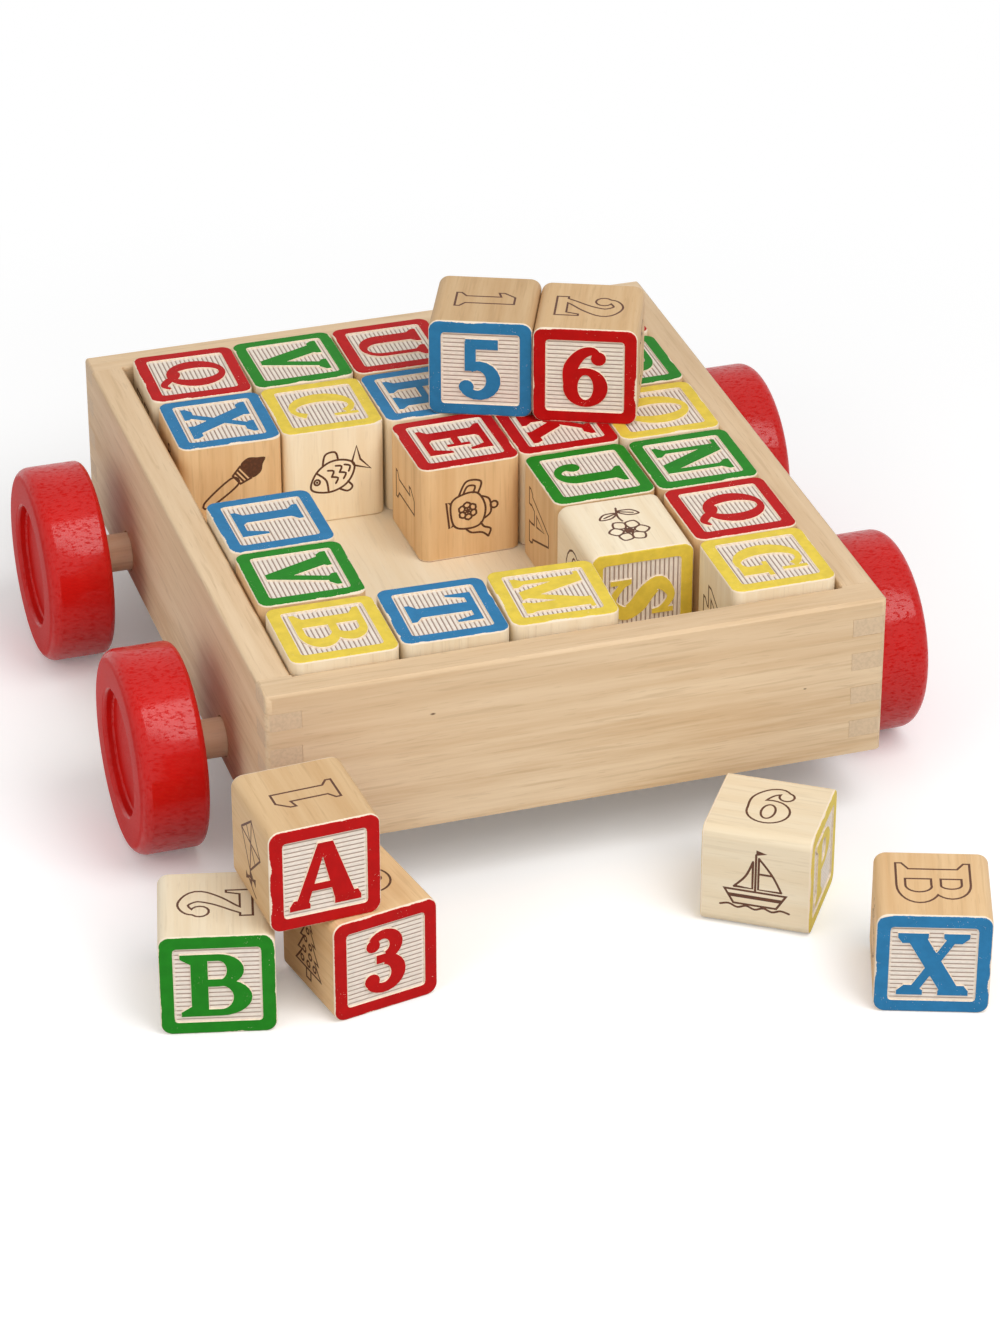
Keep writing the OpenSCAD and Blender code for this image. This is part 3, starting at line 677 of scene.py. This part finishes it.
def bare_edge(name, bare):
    """Wood where the paint has worn off the letters' edges."""

    def build(wire):
        place = wire.node("ShaderNodeTexCoord", None, None, "Object")
        cloud = place.noise(800, 3.0, 0.6)
        return {
            "Base Color": cloud.smooth(0.35, 0.7).mix(bare, dimmed(bare, 0.84)),
            "Roughness": 0.6 + cloud * 0.15,
            "Normal": bumped(wire, cloud, 0.25, 0.0001),
        }

    return shaded(name, build)


def printed_ink(name, ink):
    """Brown printed line, a little uneven."""

    def build(wire):
        place = wire.node("ShaderNodeTexCoord", None, None, "Object")
        cloud = place.noise(900, 3.0, 0.6)
        return {
            "Base Color": cloud.smooth(0.4, 0.8).mix(ink, dimmed(ink, 1.9)),
            "Roughness": 0.55 + cloud * 0.15,
            "Normal": bumped(wire, cloud, 0.15, 0.0001),
        }

    return shaded(name, build)


def wheel_paint(name, colour):
    """Paint on turned wood: satin on the faces, polished round the tread with the pores left dull."""

    def build(wire):
        place = wire.node("ShaderNodeTexCoord", None, None, "Object")
        facing = wire.node("ShaderNodeTexCoord", None, None, "Normal")
        tread = 1 - abs(facing.along((1, 0, 0))).smooth(0.8, 0.97)
        peel = place.noise(520, 2.0, 0.5)
        grit = place.vector("MULTIPLY", (0.4, 1.0, 1.0)).noise(1250, 2.0, 0.6)
        pits = grit.smooth(0.5, 0.64)
        cloud = place.noise(60, 2.0)
        skin = cloud.smooth(0.3, 0.7).mix(dimmed(colour, 0.94), dimmed(colour, 1.05))
        return {
            "Base Color": (pits * 0.2).mix(skin, dimmed(colour, 0.7)),
            "Roughness": 0.38 + grit * 0.2,
            "Specular IOR Level": 0.08,
            "Coat Weight": tread * (0.55 - pits * 0.47),
            "Coat Roughness": 0.15,
            "Normal": bumped(wire, peel * 0.4 - pits * 0.6, 0.2, 0.0001),
        }

    return shaded(name, build)


def marked(mesh, batch, shade):
    """Gives a piece its own part of the grain and its own lightness: its tone, with painted light on the blocks
    lifted out of the tray's shade.
    """
    count = len(mesh.vertices)
    shift = mesh.attributes.new("batch", "FLOAT_VECTOR", "POINT")
    shift.data.foreach_set("vector", np.tile(np.array(batch, np.float32), count))
    tone = mesh.attributes.new("shade", "FLOAT", "POINT")
    tone.data.foreach_set("value", np.full(count, shade, np.float32))


class Shell:
    """Welded faces of one piece in millimetres, each with its material's number and its smoothness."""

    def __init__(self):
        self.index = {}
        self.faces = []
        self.materials = []
        self.smooth = []

    def face(self, corners, material=0, smooth=False):
        ring = []
        for x, y, z in corners:
            key = (round(x, 4), round(y, 4), round(z, 4))
            at = self.index.setdefault(key, len(self.index))
            if at not in ring:
                ring.append(at)
        if len(ring) > 2:
            self.faces.append(ring)
            self.materials.append(material)
            self.smooth.append(smooth)

    def build(self, name, materials, placed, batch=(0, 0, 0), shade=0.0):
        """A Blender object of these faces at its place."""
        mesh = bpy.data.meshes.new(name)
        points = [(x * MM, y * MM, z * MM) for x, y, z in self.index]
        mesh.from_pydata(points, [], self.faces)
        for material in materials:
            mesh.materials.append(material)
        mesh.polygons.foreach_set("material_index", self.materials)
        mesh.polygons.foreach_set("use_smooth", self.smooth)
        marked(mesh, batch, shade)
        mesh.update()
        piece = bpy.data.objects.new(name, mesh)
        bpy.context.scene.collection.objects.link(piece)
        piece.matrix_world = placed
        return piece


def dressed(piece, node):
    """Puts a piece in its CAD node's stead, on that node's body."""
    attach(piece, frame["nodes"][node]["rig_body"])
    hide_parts(node)


def arc(centre_x, centre_y, radius, start, end, steps):
    """Points on a circular arc, its angles in degrees."""
    angles = np.radians(np.linspace(start, end, steps + 1))
    return [(centre_x + radius * math.cos(a), centre_y + radius * math.sin(a)) for a in angles]


def rounded_square(half, radius, steps):
    """Outline of a square with round corners, counter-clockwise from its right side's top."""
    points = []
    for quarter, (x, y) in enumerate(((1, 1), (-1, 1), (-1, -1), (1, -1))):
        points += arc(x * (half - radius), y * (half - radius), radius, 90 * quarter, 90 * quarter + 90, steps)
    return np.array(points)


def inside(points, loops):
    """Which points lie inside an odd number of the closed loops."""
    odd = np.zeros(len(points), bool)
    x, y = points[:, :1], points[:, 1:]
    for loop in loops:
        ax, ay = loop[:, 0], loop[:, 1]
        bx, by = np.roll(ax, -1), np.roll(ay, -1)
        spans = (ay > y) != (by > y)
        rise = np.where(by == ay, 1.0, by - ay)
        odd ^= (spans & (x < ax + (y - ay) * (bx - ax) / rise)).sum(1) % 2 == 1
    return odd


def moved_in(loop, inset):
    """A loop moved towards its left hand by an inset, with long corners held back."""
    before = loop - np.roll(loop, 1, 0)
    after = np.roll(loop, -1, 0) - loop
    normals = []
    for step in (before, after):
        length = np.maximum(np.hypot(step[:, 0], step[:, 1]), 1e-9)
        normals.append(np.stack((-step[:, 1], step[:, 0]), 1) / length[:, None])
    turn = np.maximum((normals[0] * normals[1]).sum(1), -0.6)
    return loop + inset * (normals[0] + normals[1]) / (1 + turn)[:, None]


def triangulated(loops, lines=()):
    """Triangles over the hull of closed loops and open lines that keep all their edges."""
    points, edges = [], []
    for chain, closed in [(c, True) for c in loops] + [(c, False) for c in lines]:
        first, count = len(points), len(chain)
        points += [Vector((float(x), float(y))) for x, y in chain]
        edges += [(first + i, first + i + 1) for i in range(count - 1)]
        if closed:
            edges.append((first + count - 1, first))
    spots, _, faces, *_ = delaunay_2d_cdt(points, edges, [], 0, 1e-5)
    return np.array([(p.x, p.y) for p in spots]), [tuple(f) for f in faces]


def block_place(node, facing, turn):
    """Where a block's own frame stands: its middle, its letter along +Z and the letter's top along +Y."""
    low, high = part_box(node)
    upright = Matrix.Rotation(math.radians(turn), 4, "Z")
    faced = Euler([math.radians(a) for a in FACINGS[facing]]).to_matrix().to_4x4()
    return Matrix.Translation((low + high) / 2) @ upright @ faced


def letter_outlines(node, placed, panel):
    """Outlines of a block's two letters, read from its solid: {1: loops on +Z, -1: loops on -Z}."""
    mesh = frame["nodes"][node].data
    back = placed.inverted()
    own = np.array([back @ v.co for v in mesh.vertices]) / MM
    top = own[:, 2].max() - 0.01
    found = {}
    for end in (1, -1):
        spots = [(round(end * x, 3), round(y, 3)) if end * z > top else None for x, y, z in own]
        steps = set()
        for face in mesh.polygons:
            ring = [spots[i] for i in face.vertices]
            if None not in ring:
                steps.update(zip(ring, ring[1:] + ring[:1]))
        border = {a: b for a, b in steps if (b, a) not in steps}
        loops = []
        while border:
            start, at = border.popitem()
            loop = [start]
            while at != start:
                loop.append(at)
                at = border.pop(at)
            loops.append(np.array(loop))
        found[end] = [loop for loop in loops if np.abs(loop).max() < panel / 2 - 0.1]
    return found


class RaisedFace:
    """One embossed face: a painted frame and letter over a ribbed panel."""

    def __init__(self, letter, settings, half):
        self.settings = settings
        self.top = half
        radius, end = settings.edge_round / MM, settings.end_round / MM
        panel, corner, ease = settings.panel / MM, settings.panel_round / MM, settings.ease / MM
        self.pitch, self.groove = settings.rib_pitch / MM, settings.rib_groove / MM
        outer = rounded_square(half - end, radius - end, CORNER_STEPS)
        sunk = rounded_square(panel / 2, corner, PANEL_STEPS)
        eased = rounded_square(panel / 2 + ease, corner + ease, PANEL_STEPS)
        ribs = []
        count = int(panel / 2 / self.pitch)
        for i in range(-count, count + 1):
            for y in (i * self.pitch - self.groove, i * self.pitch, i * self.pitch + self.groove):
                if abs(y) < panel / 2 - 0.05:
                    ribs.append(np.array([(-panel / 2, y), (panel / 2, y)]))
        loops = [outer, sunk, eased, *letter, *(moved_in(loop, ease) for loop in letter)]
        self.spots, self.faces = triangulated(loops, ribs)
        middles = np.array([self.spots[list(f)].mean(0) for f in self.faces])
        self.sunk = inside(middles, [sunk]) & ~inside(middles, letter)
        low = np.zeros(len(self.spots), bool)
        high = np.zeros(len(self.spots), bool)
        for face, is_sunk in zip(self.faces, self.sunk):
            (low if is_sunk else high)[list(face)] = True
        self.rim = low & high

    def low_z(self, spot):
        """Height of the ribbed panel."""
        turn = spot[1] / self.pitch
        gap = abs(turn - round(turn)) * self.pitch
        rise = self.settings.rib_height / MM * min(gap / self.groove, 1)
        return self.top - self.settings.relief / MM + rise

    def high_z(self, i):
        """Height of the frame and the letter, less at their worn edges."""
        return self.top - (self.settings.ease / MM if self.rim[i] else 0)

    def add_to(self, shell, end):
        """Adds this face to a block's shell at one end of its Z axis."""

        def place(i, z):
            return end * self.spots[i][0], self.spots[i][1], end * z

        walls = {}
        for face, is_sunk in zip(self.faces, self.sunk):
            if is_sunk:
                shell.face([place(i, self.low_z(self.spots[i])) for i in face], PANEL)
            else:
                worn = self.rim[list(face)].any()
                shell.face([place(i, self.high_z(i)) for i in face], BARE if worn else PAINT)
            for a, b in zip(face, face[1:] + face[:1]):
                walls.setdefault(frozenset((a, b)), []).append((a, b, is_sunk))
        for sides in walls.values():
            if len(sides) == 2 and sides[0][2] != sides[1][2]:
                a, b, _ = sides[0] if not sides[0][2] else sides[1]
                low_a, low_b = self.low_z(self.spots[a]), self.low_z(self.spots[b])
                shell.face(
                    [place(b, self.high_z(b)), place(a, self.high_z(a)), place(a, low_a), place(b, low_b)], BARE
                )


def smooth_line(points, closed):
    """A smooth line through points, in short steps."""
    count = len(points)
    line = []
    for i in range(count if closed else count - 1):
        if closed:
            a, b, c, d = (points[(i + k) % count] for k in (-1, 0, 1, 2))
        else:
            a, b, c, d = (points[min(max(i + k, 0), count - 1)] for k in (-1, 0, 1, 2))
        steps = max(2, int(np.hypot(*(c - b)) / 0.7))
        for t in np.linspace(0, 1, steps, endpoint=False):
            line.append(
                (2 * b + (c - a) * t + (2 * a - 5 * b + 4 * c - d) * t**2 + (3 * b - a - 3 * c + d) * t**3) / 2
            )
    if not closed:
        line.append(points[-1])
    return np.array(line)


def oval(x, y, wide, high):
    """A closed oval."""
    steps = max(10, int(max(wide, high) * 6))
    angles = np.linspace(0, 2 * math.pi, steps, endpoint=False)
    return np.stack((x + wide * np.cos(angles), y + high * np.sin(angles)), 1)


def drawing_marks(name):
    """A drawing's closed lines, open lines and solid spots."""
    closed, opened, solid = [], [], []
    for kind, *numbers in DRAWINGS[name]:
        points = np.array(numbers, float).reshape(-1, 2) if len(numbers) % 2 == 0 else None
        if kind == "line":
            opened.append(points)
        elif kind == "curve":
            opened.append(smooth_line(points, False))
        elif kind == "shape":
            closed.append(points)
        elif kind == "loop":
            closed.append(smooth_line(points, True))
        elif kind == "ring":
            closed.append(oval(*numbers))
        elif kind == "dot":
            solid.append(oval(*numbers, numbers[-1]))
        elif kind == "solid":
            solid.append(smooth_line(points, True))
        elif kind == "solid_shape":
            solid.append(points)
        elif kind == "petals":
            x, y, count, near, far, half = numbers
            middle = (near + far) / 2
            petal = smooth_line(np.array([(near, 0), (middle, half), (far, 0), (middle, -half)]), True)
            for angle in np.linspace(0, 2 * math.pi, int(count), endpoint=False):
                closed.append(turned(petal, angle) + (x, y))
        elif kind == "rays":
            x, y, count, near, far = numbers
            for angle in np.linspace(0, 2 * math.pi, int(count), endpoint=False):
                opened.append(turned(np.array([(near, 0.0), (far, 0.0)]), angle) + (x, y))
        else:
            raise ValueError(f"no mark is called {kind}")
    tilt, *shift = TILTS.get(name, (0, 0, 0))
    return [[turned(p, math.radians(tilt)) + shift for p in group] for group in (closed, opened, solid)]


def turned(points, angle):
    """Points turned about the origin."""
    c, s = math.cos(angle), math.sin(angle)
    return points @ np.array([[c, s], [-s, c]])


def distance_to_lines(points, lines):
    """Distance from each point to the nearest of some lines' segments."""
    starts = np.concatenate([line[:-1] for line in lines])
    steps = np.concatenate([line[1:] - line[:-1] for line in lines])
    offset = points[:, None] - starts
    share = (offset * steps).sum(2) / np.maximum((steps**2).sum(1), 1e-12)
    away = offset - np.clip(share, 0, 1)[:, :, None] * steps
    return np.hypot(away[:, :, 0], away[:, :, 1]).min(1)


def resampled(loop, step):
    """A closed loop with no point closer than a step to the one before it."""
    kept = [loop[0]]
    for point in loop[1:]:
        if np.hypot(*(point - kept[-1])) >= step:
            kept.append(point)
    return np.array(kept)


class DrawnSide:
    """The flat middle of a block's side, with its drawing as inked faces."""

    def __init__(self, closed, opened, solid, half, width):
        square = np.array([(-half, -half), (half, -half), (half, half), (-half, half)])
        edges = [square, *solid]
        for loop in closed:
            edges += [moved_in(loop, width / 2), moved_in(loop, -width / 2)]
        for line in opened:
            edges.append(self.stroke(line, width / 2))
        self.spots, self.faces = triangulated(edges)
        middles = np.array([self.spots[list(f)].mean(0) for f in self.faces])
        lines = [np.vstack((loop, loop[:1])) for loop in closed] + opened
        self.inked = np.zeros(len(self.faces), bool)
        if lines:
            self.inked |= distance_to_lines(middles, lines) < width / 2
        for spot in solid:
            self.inked |= inside(middles, [spot])

    @staticmethod
    def stroke(line, half):
        """Outline of an open line drawn with a round pen."""
        steps = np.gradient(line, axis=0)
        steps /= np.hypot(steps[:, 0], steps[:, 1])[:, None]
        normals = np.stack((-steps[:, 1], steps[:, 0]), 1) * half
        tip, tail = line[-1:] + steps[-1:] * half, line[:1] - steps[:1] * half
        return np.vstack((line + normals, tip, (line - normals)[::-1], tail))

    def add_to(self, shell, normal, top, reach):
        """Adds this side to a block's shell, with its drawing's top along an axis."""
        normal, top = Vector(normal), Vector(top)
        right = top.cross(normal)
        for face, inked in zip(self.faces, self.inked):
            corners = [normal * reach + right * self.spots[i][0] + top * self.spots[i][1] for i in face]
            shell.face(corners, INK if inked else WOOD)


def block_shell(raised, sides, settings, half):
    """A whole block: two embossed faces, rounded edges and four drawn sides."""
    shell = Shell()
    radius, end = settings.edge_round / MM, settings.end_round / MM
    flat = half - radius
    rows = []
    for i in range(END_STEPS + 1):
        angle = math.radians(90 * i / END_STEPS)
        rows.append((end * (1 - math.sin(angle)), half - end * (1 - math.cos(angle))))
    rows += [(0, flat)]
    rows += [(inset, -z) for inset, z in reversed(rows)]
    rings = [[(x, y, z) for x, y in rounded_square(half - inset, radius - inset, CORNER_STEPS)] for inset, z in rows]
    count = len(rings[0])
    for row, (upper, lower) in enumerate(zip(rings, rings[1:])):
        at_end = min(row, len(rings) - 2 - row) < END_STEPS
        middle = row == END_STEPS + 1
        for j in range(count):
            k = (j + 1) % count
            on_side = j % (CORNER_STEPS + 1) == CORNER_STEPS
            if not (middle and on_side):
                shell.face(
                    [upper[j], lower[j], lower[k], upper[k]], PAINT if at_end else WOOD, at_end or not on_side
                )
    for end_sign, face in raised.items():
        face.add_to(shell, end_sign)
    for side, (drawn, top) in sides.items():
        drawn.add_to(shell, SIDES[side], AXES[top], half)
    return shell


class BLOCKCART_OT_blocks(bpy.types.Operator):
    """Builds the thirty blocks with their raised letters and printed sides"""

    bl_idname = "block_cart.blocks"
    bl_label = "Blocks"

    def execute(self, context):
        settings = context.scene.block_cart_blocks
        low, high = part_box(BLOCKS[-1][0])
        half = (high.z - low.z) / 2 / MM
        colours = {name: getattr(settings, name) for name in PAINTS}
        paints = {
            name: letter_paint(f"letter_paint_{name}", colour, settings.bare, half * MM, settings.edge_round)
            for name, colour in colours.items()
        }
        woods = {
            "tan": wood("tan_block_wood", settings.tan_light, settings.tan_deep, 2, settings.tan_deep, 0.7),
            "pale": wood("pale_block_wood", settings.pale_light, settings.pale_deep, 2, settings.pale_deep, 0.7),
        }
        bare = bare_edge("worn_letter_edge", settings.bare)
        panel = ribbed_panel(
            "ribbed_panel", settings.rib, settings.groove, settings.rib_pitch, settings.rib_groove, settings.panel / 2
        )
        ink = printed_ink("printed_line", settings.ink)

        places, outlines = {}, {}
        for node, letter, opposite, _, _, facing, turn in BLOCKS:
            places[node] = block_place(node, facing, turn)
            found = letter_outlines(node, places[node], settings.panel / MM)
            outlines[letter], outlines[opposite] = found[1], found[-1]
        raised = {letter: RaisedFace(loops, settings, half) for letter, loops in outlines.items()}
        drawn = {}

        def side(name):
            if name not in drawn:
                if name in DRAWINGS:
                    closed, opened, solid = drawing_marks(name)
                else:
                    size = settings.letter_scale * DRAWN_SIZES.get(name, 1)
                    closed = [resampled(loop * size, 0.3) for loop in outlines[name]]
                    opened, solid = [], []
                drawn[name] = DrawnSide(
                    closed, opened, solid, half - settings.edge_round / MM, settings.ink_width / MM
                )
            return drawn[name]

        for number, (node, letter, opposite, colour, tone, _, _) in enumerate(BLOCKS):
            art = {}
            for i, name in enumerate(SIDES):
                pick = number * len(SIDES) + i
                if (number + i) % 2:
                    other = OTHER_LETTERS[pick % len(OTHER_LETTERS)]
                else:
                    other = OTHER_DRAWINGS[pick % len(OTHER_DRAWINGS)]
                name_of, top = SIDE_ART.get(node, {}).get(name, (other, "+z"))
                art[name] = (side(name_of), top)
            shell = block_shell({1: raised[letter], -1: raised[opposite]}, art, settings, half)
            batch = (0.37 * number, 0.53 * (number % 7), 0.71 * (number % 11))
            piece = shell.build(
                f"{node}_piece",
                [woods[tone], paints[colour], bare, panel, ink],
                places[node],
                batch,
                TONES_AND_PAINTED_LIGHT.get(node, 0.03 * math.sin(number * 2.4)),
            )
            dressed(piece, node)
        return {"FINISHED"}


def lathe(profile, segments):
    """A turned shape in millimetres about X, from points of radius and height along X."""
    shell = Shell()
    turns = [2 * math.pi * i / segments for i in range(segments)]
    for (r0, h0), (r1, h1) in zip(profile, profile[1:]):
        for a, b in zip(turns, turns[1:] + turns[:1]):
            shell.face(
                [
                    (h0, r0 * math.cos(a), r0 * math.sin(a)),
                    (h1, r1 * math.cos(a), r1 * math.sin(a)),
                    (h1, r1 * math.cos(b), r1 * math.sin(b)),
                    (h0, r0 * math.cos(b), r0 * math.sin(b)),
                ],
                0,
                True,
            )
    return shell


def wheel_profile(settings, radius, width):
    """Half section of a wheel from its blind bore over the tread to the recess's middle."""
    outer, inner, lip = settings.outer_round / MM, settings.inner_round / MM, settings.lip_round / MM
    recess, deep = settings.recess_radius / MM, settings.recess_depth / MM
    bore, hole = settings.bore_radius / MM, settings.bore_depth / MM
    profile = [(0.0, hole), (bore, hole), (bore, BORE_CHAMFER), (bore + BORE_CHAMFER, 0.0)]
    profile += arc(radius - inner, inner, inner, -90, 0, 8)
    profile += arc(radius - outer, width - outer, outer, 0, 90, 12)
    profile += arc(recess + lip, width - lip, lip, 90, 180, 8)
    profile += arc(recess - RECESS_FILLET, width - deep + RECESS_FILLET, RECESS_FILLET, 0, -90, 6)
    profile.append((0.0, width - deep))
    return profile


class BLOCKCART_OT_wheels(bpy.types.Operator):
    """Turns the four painted wheels"""

    bl_idname = "block_cart.wheels"
    bl_label = "Wheels"

    def execute(self, context):
        settings = context.scene.block_cart_wheels
        paint = wheel_paint("wheel_paint", settings.paint)
        for node in WHEELS:
            low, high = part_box(node)
            width, radius = (high.x - low.x) / MM, (high.z - low.z) / 2 / MM
            shell = lathe(wheel_profile(settings, radius, width), settings.segments)
            on_left = "left" in node
            hub = Vector((high.x if on_left else low.x, (low.y + high.y) / 2, (low.z + high.z) / 2))
            outward = Matrix.Rotation(math.pi, 4, "Z") if on_left else Matrix.Identity(4)
            piece = shell.build(f"{node}_piece", [paint], Matrix.Translation(hub) @ outward)
            piece.data.set_sharp_from_angle(angle=math.radians(40))
            dressed(piece, node)
        return {"FINISHED"}


class BLOCKCART_OT_tray(bpy.types.Operator):
    """Builds the four walls with eased finger joints"""

    bl_idname = "block_cart.tray"
    bl_label = "Tray walls"

    def execute(self, context):
        settings = context.scene.block_cart_tray
        front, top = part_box("front_wall")
        knots = [((x, front.y, z), r) for x, z, r in PIN_KNOTS]
        lively = (front.z, top.z)
        tones = (settings.light, settings.deep)
        woods = (
            wood("end_wall_wood", *tones, 0, settings.end_grain, WALL_STREAK, knots, settings.knot, lively),
            wood("side_wall_wood", *tones, 1, settings.end_grain, WALL_STREAK, lively=lively),
        )
        for number, (node, along, shade) in enumerate(WALLS):
            piece = self.eased_copy(node, settings.seam)
            marked(piece.data, (0.0, 0.0, 0.83 * number), shade)
            piece.data.materials.clear()
            piece.data.materials.append(woods[along])
            dressed(piece, node)
        return {"FINISHED"}

    def eased_copy(self, node, seam):
        """A wall's solid with fine chamfers along its sharp edges."""
        solid = bmesh.new()
        solid.from_mesh(frame["nodes"][node].data)
        bmesh.ops.remove_doubles(solid, verts=solid.verts, dist=1e-6)
        bmesh.ops.dissolve_limit(solid, angle_limit=0.01, verts=solid.verts, edges=solid.edges)
        sharp = [e for e in solid.edges if len(e.link_faces) == 2 and e.calc_face_angle(0) > math.radians(75)]
        bmesh.ops.bevel(
            solid,
            geom=sharp,
            offset=seam,
            offset_type="OFFSET",
            segments=1,
            profile=0.5,
            affect="EDGES",
            clamp_overlap=True,
        )
        bmesh.ops.remove_doubles(solid, verts=solid.verts, dist=1e-6)
        bmesh.ops.dissolve_degenerate(solid, edges=solid.edges, dist=1e-6)
        mesh = bpy.data.meshes.new(f"{node}_piece")
        solid.to_mesh(mesh)
        solid.free()
        mesh.polygons.foreach_set("use_smooth", [True] * len(mesh.polygons))
        mesh.set_sharp_from_angle(angle=math.radians(50))
        piece = bpy.data.objects.new(f"{node}_piece", mesh)
        bpy.context.scene.collection.objects.link(piece)
        weighted = piece.modifiers.new("flat_faces", "WEIGHTED_NORMAL")
        weighted.keep_sharp = True
        return piece


class BLOCKCART_OT_floor_and_axles(bpy.types.Operator):
    """Finishes the floor panel and the two dowel axles"""

    bl_idname = "block_cart.floor_and_axles"
    bl_label = "Floor and axles"

    def execute(self, context):
        settings = context.scene.block_cart_tray
        panel = wood("floor_panel_wood", settings.floor_light, settings.floor_deep, 1, settings.floor_deep, 0.6)
        # The dowel tones carry painted light that lifts the axles out of the shade of the wheels and tray
        dowel = wood("dowel_wood", settings.dowel_light, settings.dowel_deep, 0, settings.dowel_deep)
        for node, material in (("floor_panel", panel), ("front_axle", dowel), ("rear_axle", dowel)):
            for slot in frame["nodes"][node].material_slots:
                slot.material = material
        return {"FINISHED"}


class BLOCKCART_OT_stage(bpy.types.Operator):
    """Sets the floor, the light and the camera"""

    bl_idname = "block_cart.stage"
    bl_label = "Stage"

    def execute(self, context):
        settings = context.scene.block_cart_stage
        scene = context.scene
        scene.view_settings.view_transform = "Standard"
        self.world(scene, settings)
        self.floor(scene, settings)
        aim = Vector(settings.aim)
        for name, power, offset, size, in_gloss in LAMPS:
            self.lamp(scene, name, aim, offset, size, getattr(settings, power)).visible_glossy = in_gloss
        self.camera(scene, settings, aim)
        return {"FINISHED"}

    @staticmethod
    def seen(wire):
        """1 on rays of the camera, of gloss and of glass."""
        camera, glossy, glass = (
            wire.node("ShaderNodeLightPath", None, None, f"Is {kind} Ray")
            for kind in ("Camera", "Glossy", "Transmission")
        )
        return camera.math("MAXIMUM", glossy).math("MAXIMUM", glass)

    def world(self, scene, settings):
        scene.world = bpy.data.worlds.new("white_room")
        scene.world.use_nodes = True
        scene.world.node_tree.nodes.clear()
        wire = Wire(scene.world.node_tree)
        white = wire.node("ShaderNodeBackground", None, {"Color": (1, 1, 1, 1), "Strength": 1.0})
        fill = wire.node("ShaderNodeBackground", None, {"Color": (1, 1, 1, 1), "Strength": settings.fill})
        shown = wire.node("ShaderNodeMixShader", None, {0: self.seen(wire), 1: fill, 2: white})
        wire.node("ShaderNodeOutputWorld", None, {"Surface": shown})

    def floor(self, scene, settings):
        mesh = bpy.data.meshes.new("floor")
        signs = ((-1, -1), (1, -1), (1, 1), (-1, 1))
        mesh.from_pydata([(x * FLOOR_REACH, y * FLOOR_REACH, FLOOR_Z) for x, y in signs], [], [(0, 1, 2, 3)])
        floor = bpy.data.objects.new("floor", mesh)
        scene.collection.objects.link(floor)
        material = bpy.data.materials.new("pale_floor")
        material.use_nodes = True
        material.node_tree.nodes.clear()
        wire = Wire(material.node_tree)
        place = wire.node("ShaderNodeTexCoord", None, None, "Object")
        away = place.vector("LENGTH", out="Value").smooth(0.25, 0.5)
        seen = self.seen(wire)
        matte = wire.node("ShaderNodeBsdfDiffuse", None, {"Color": paint_tuple(settings.floor)})
        paper = wire.node("ShaderNodeBsdfDiffuse", None, {"Color": paint_tuple(settings.white)})
        glow = wire.node("ShaderNodeEmission", None, {"Color": (1, 1, 1, 1), "Strength": settings.lift})
        lifted = wire.node("ShaderNodeAddShader", None, {0: paper, 1: glow})
        near = wire.node("ShaderNodeMixShader", None, {0: seen, 1: matte, 2: lifted})
        white = wire.node("ShaderNodeEmission", None, {"Color": (1, 1, 1, 1), "Strength": 1.0})
        shown = wire.node("ShaderNodeMixShader", None, {0: away * seen, 1: near, 2: white})
        wire.node("ShaderNodeOutputMaterial", None, {"Surface": shown})
        mesh.materials.append(material)

    @staticmethod
    def lamp(scene, name, aim, offset, size, power):
        light = bpy.data.lights.new(name, "AREA")
        light.shape = "RECTANGLE"
        light.size, light.size_y = size
        light.energy = power
        lamp = bpy.data.objects.new(name, light)
        scene.collection.objects.link(lamp)
        lamp.location = aim + Vector(offset)
        lamp.rotation_euler = Vector(offset).to_track_quat("Z", "Y").to_euler()
        return lamp

    @staticmethod
    def camera(scene, settings, aim):
        lens = bpy.data.cameras.new("camera")
        lens.lens = settings.lens
        lens.sensor_width = 36
        lens.clip_end = 20
        camera = bpy.data.objects.new("camera", lens)
        scene.collection.objects.link(camera)
        scene.camera = camera
        az, el = settings.azimuth, settings.elevation
        back = Vector((math.sin(az) * math.cos(el), -math.cos(az) * math.cos(el), math.sin(el)))
        right = Vector((math.cos(az), math.sin(az), 0))
        turn = Matrix((right, back.cross(right), back)).transposed().to_4x4()
        camera.matrix_world = Matrix.Translation(aim + back * settings.distance) @ turn


class BLOCKCART_PT_panel(bpy.types.Panel):
    """Lists the cart's settings and the operators that build it"""

    bl_label = "Block Cart"
    bl_idname = "BLOCKCART_PT_panel"
    bl_space_type = "VIEW_3D"
    bl_region_type = "UI"
    bl_category = "Block Cart"

    def draw(self, context):
        for operators, name in STEPS:
            box = self.layout.box()
            for operator in operators:
                box.operator(operator.bl_idname)
            settings = getattr(context.scene, name)
            for key in settings.bl_rna.properties.keys():
                if key not in ("rna_type", "name"):
                    box.prop(settings, key)


STEPS = (
    ((BLOCKCART_OT_stage,), "block_cart_stage"),
    ((BLOCKCART_OT_tray, BLOCKCART_OT_floor_and_axles), "block_cart_tray"),
    ((BLOCKCART_OT_wheels,), "block_cart_wheels"),
    ((BLOCKCART_OT_blocks,), "block_cart_blocks"),
)
SETTINGS = {
    "block_cart_stage": StageSettings,
    "block_cart_tray": TraySettings,
    "block_cart_wheels": WheelSettings,
    "block_cart_blocks": BlockSettings,
}
CLASSES = (*SETTINGS.values(), *(o for operators, _ in STEPS for o in operators), BLOCKCART_PT_panel)


def register():
    for cls in CLASSES:
        bpy.utils.register_class(cls)
    for name, group in SETTINGS.items():
        setattr(bpy.types.Scene, name, bpy.props.PointerProperty(type=group))


def unregister():
    for name in SETTINGS:
        delattr(bpy.types.Scene, name)
    for cls in reversed(CLASSES):
        bpy.utils.unregister_class(cls)


def main():
    register()
    bpy.ops.block_cart.stage()
    bpy.ops.block_cart.tray()
    bpy.ops.block_cart.floor_and_axles()
    bpy.ops.block_cart.wheels()
    bpy.ops.block_cart.blocks()


if __name__ == "__main__":
    main()
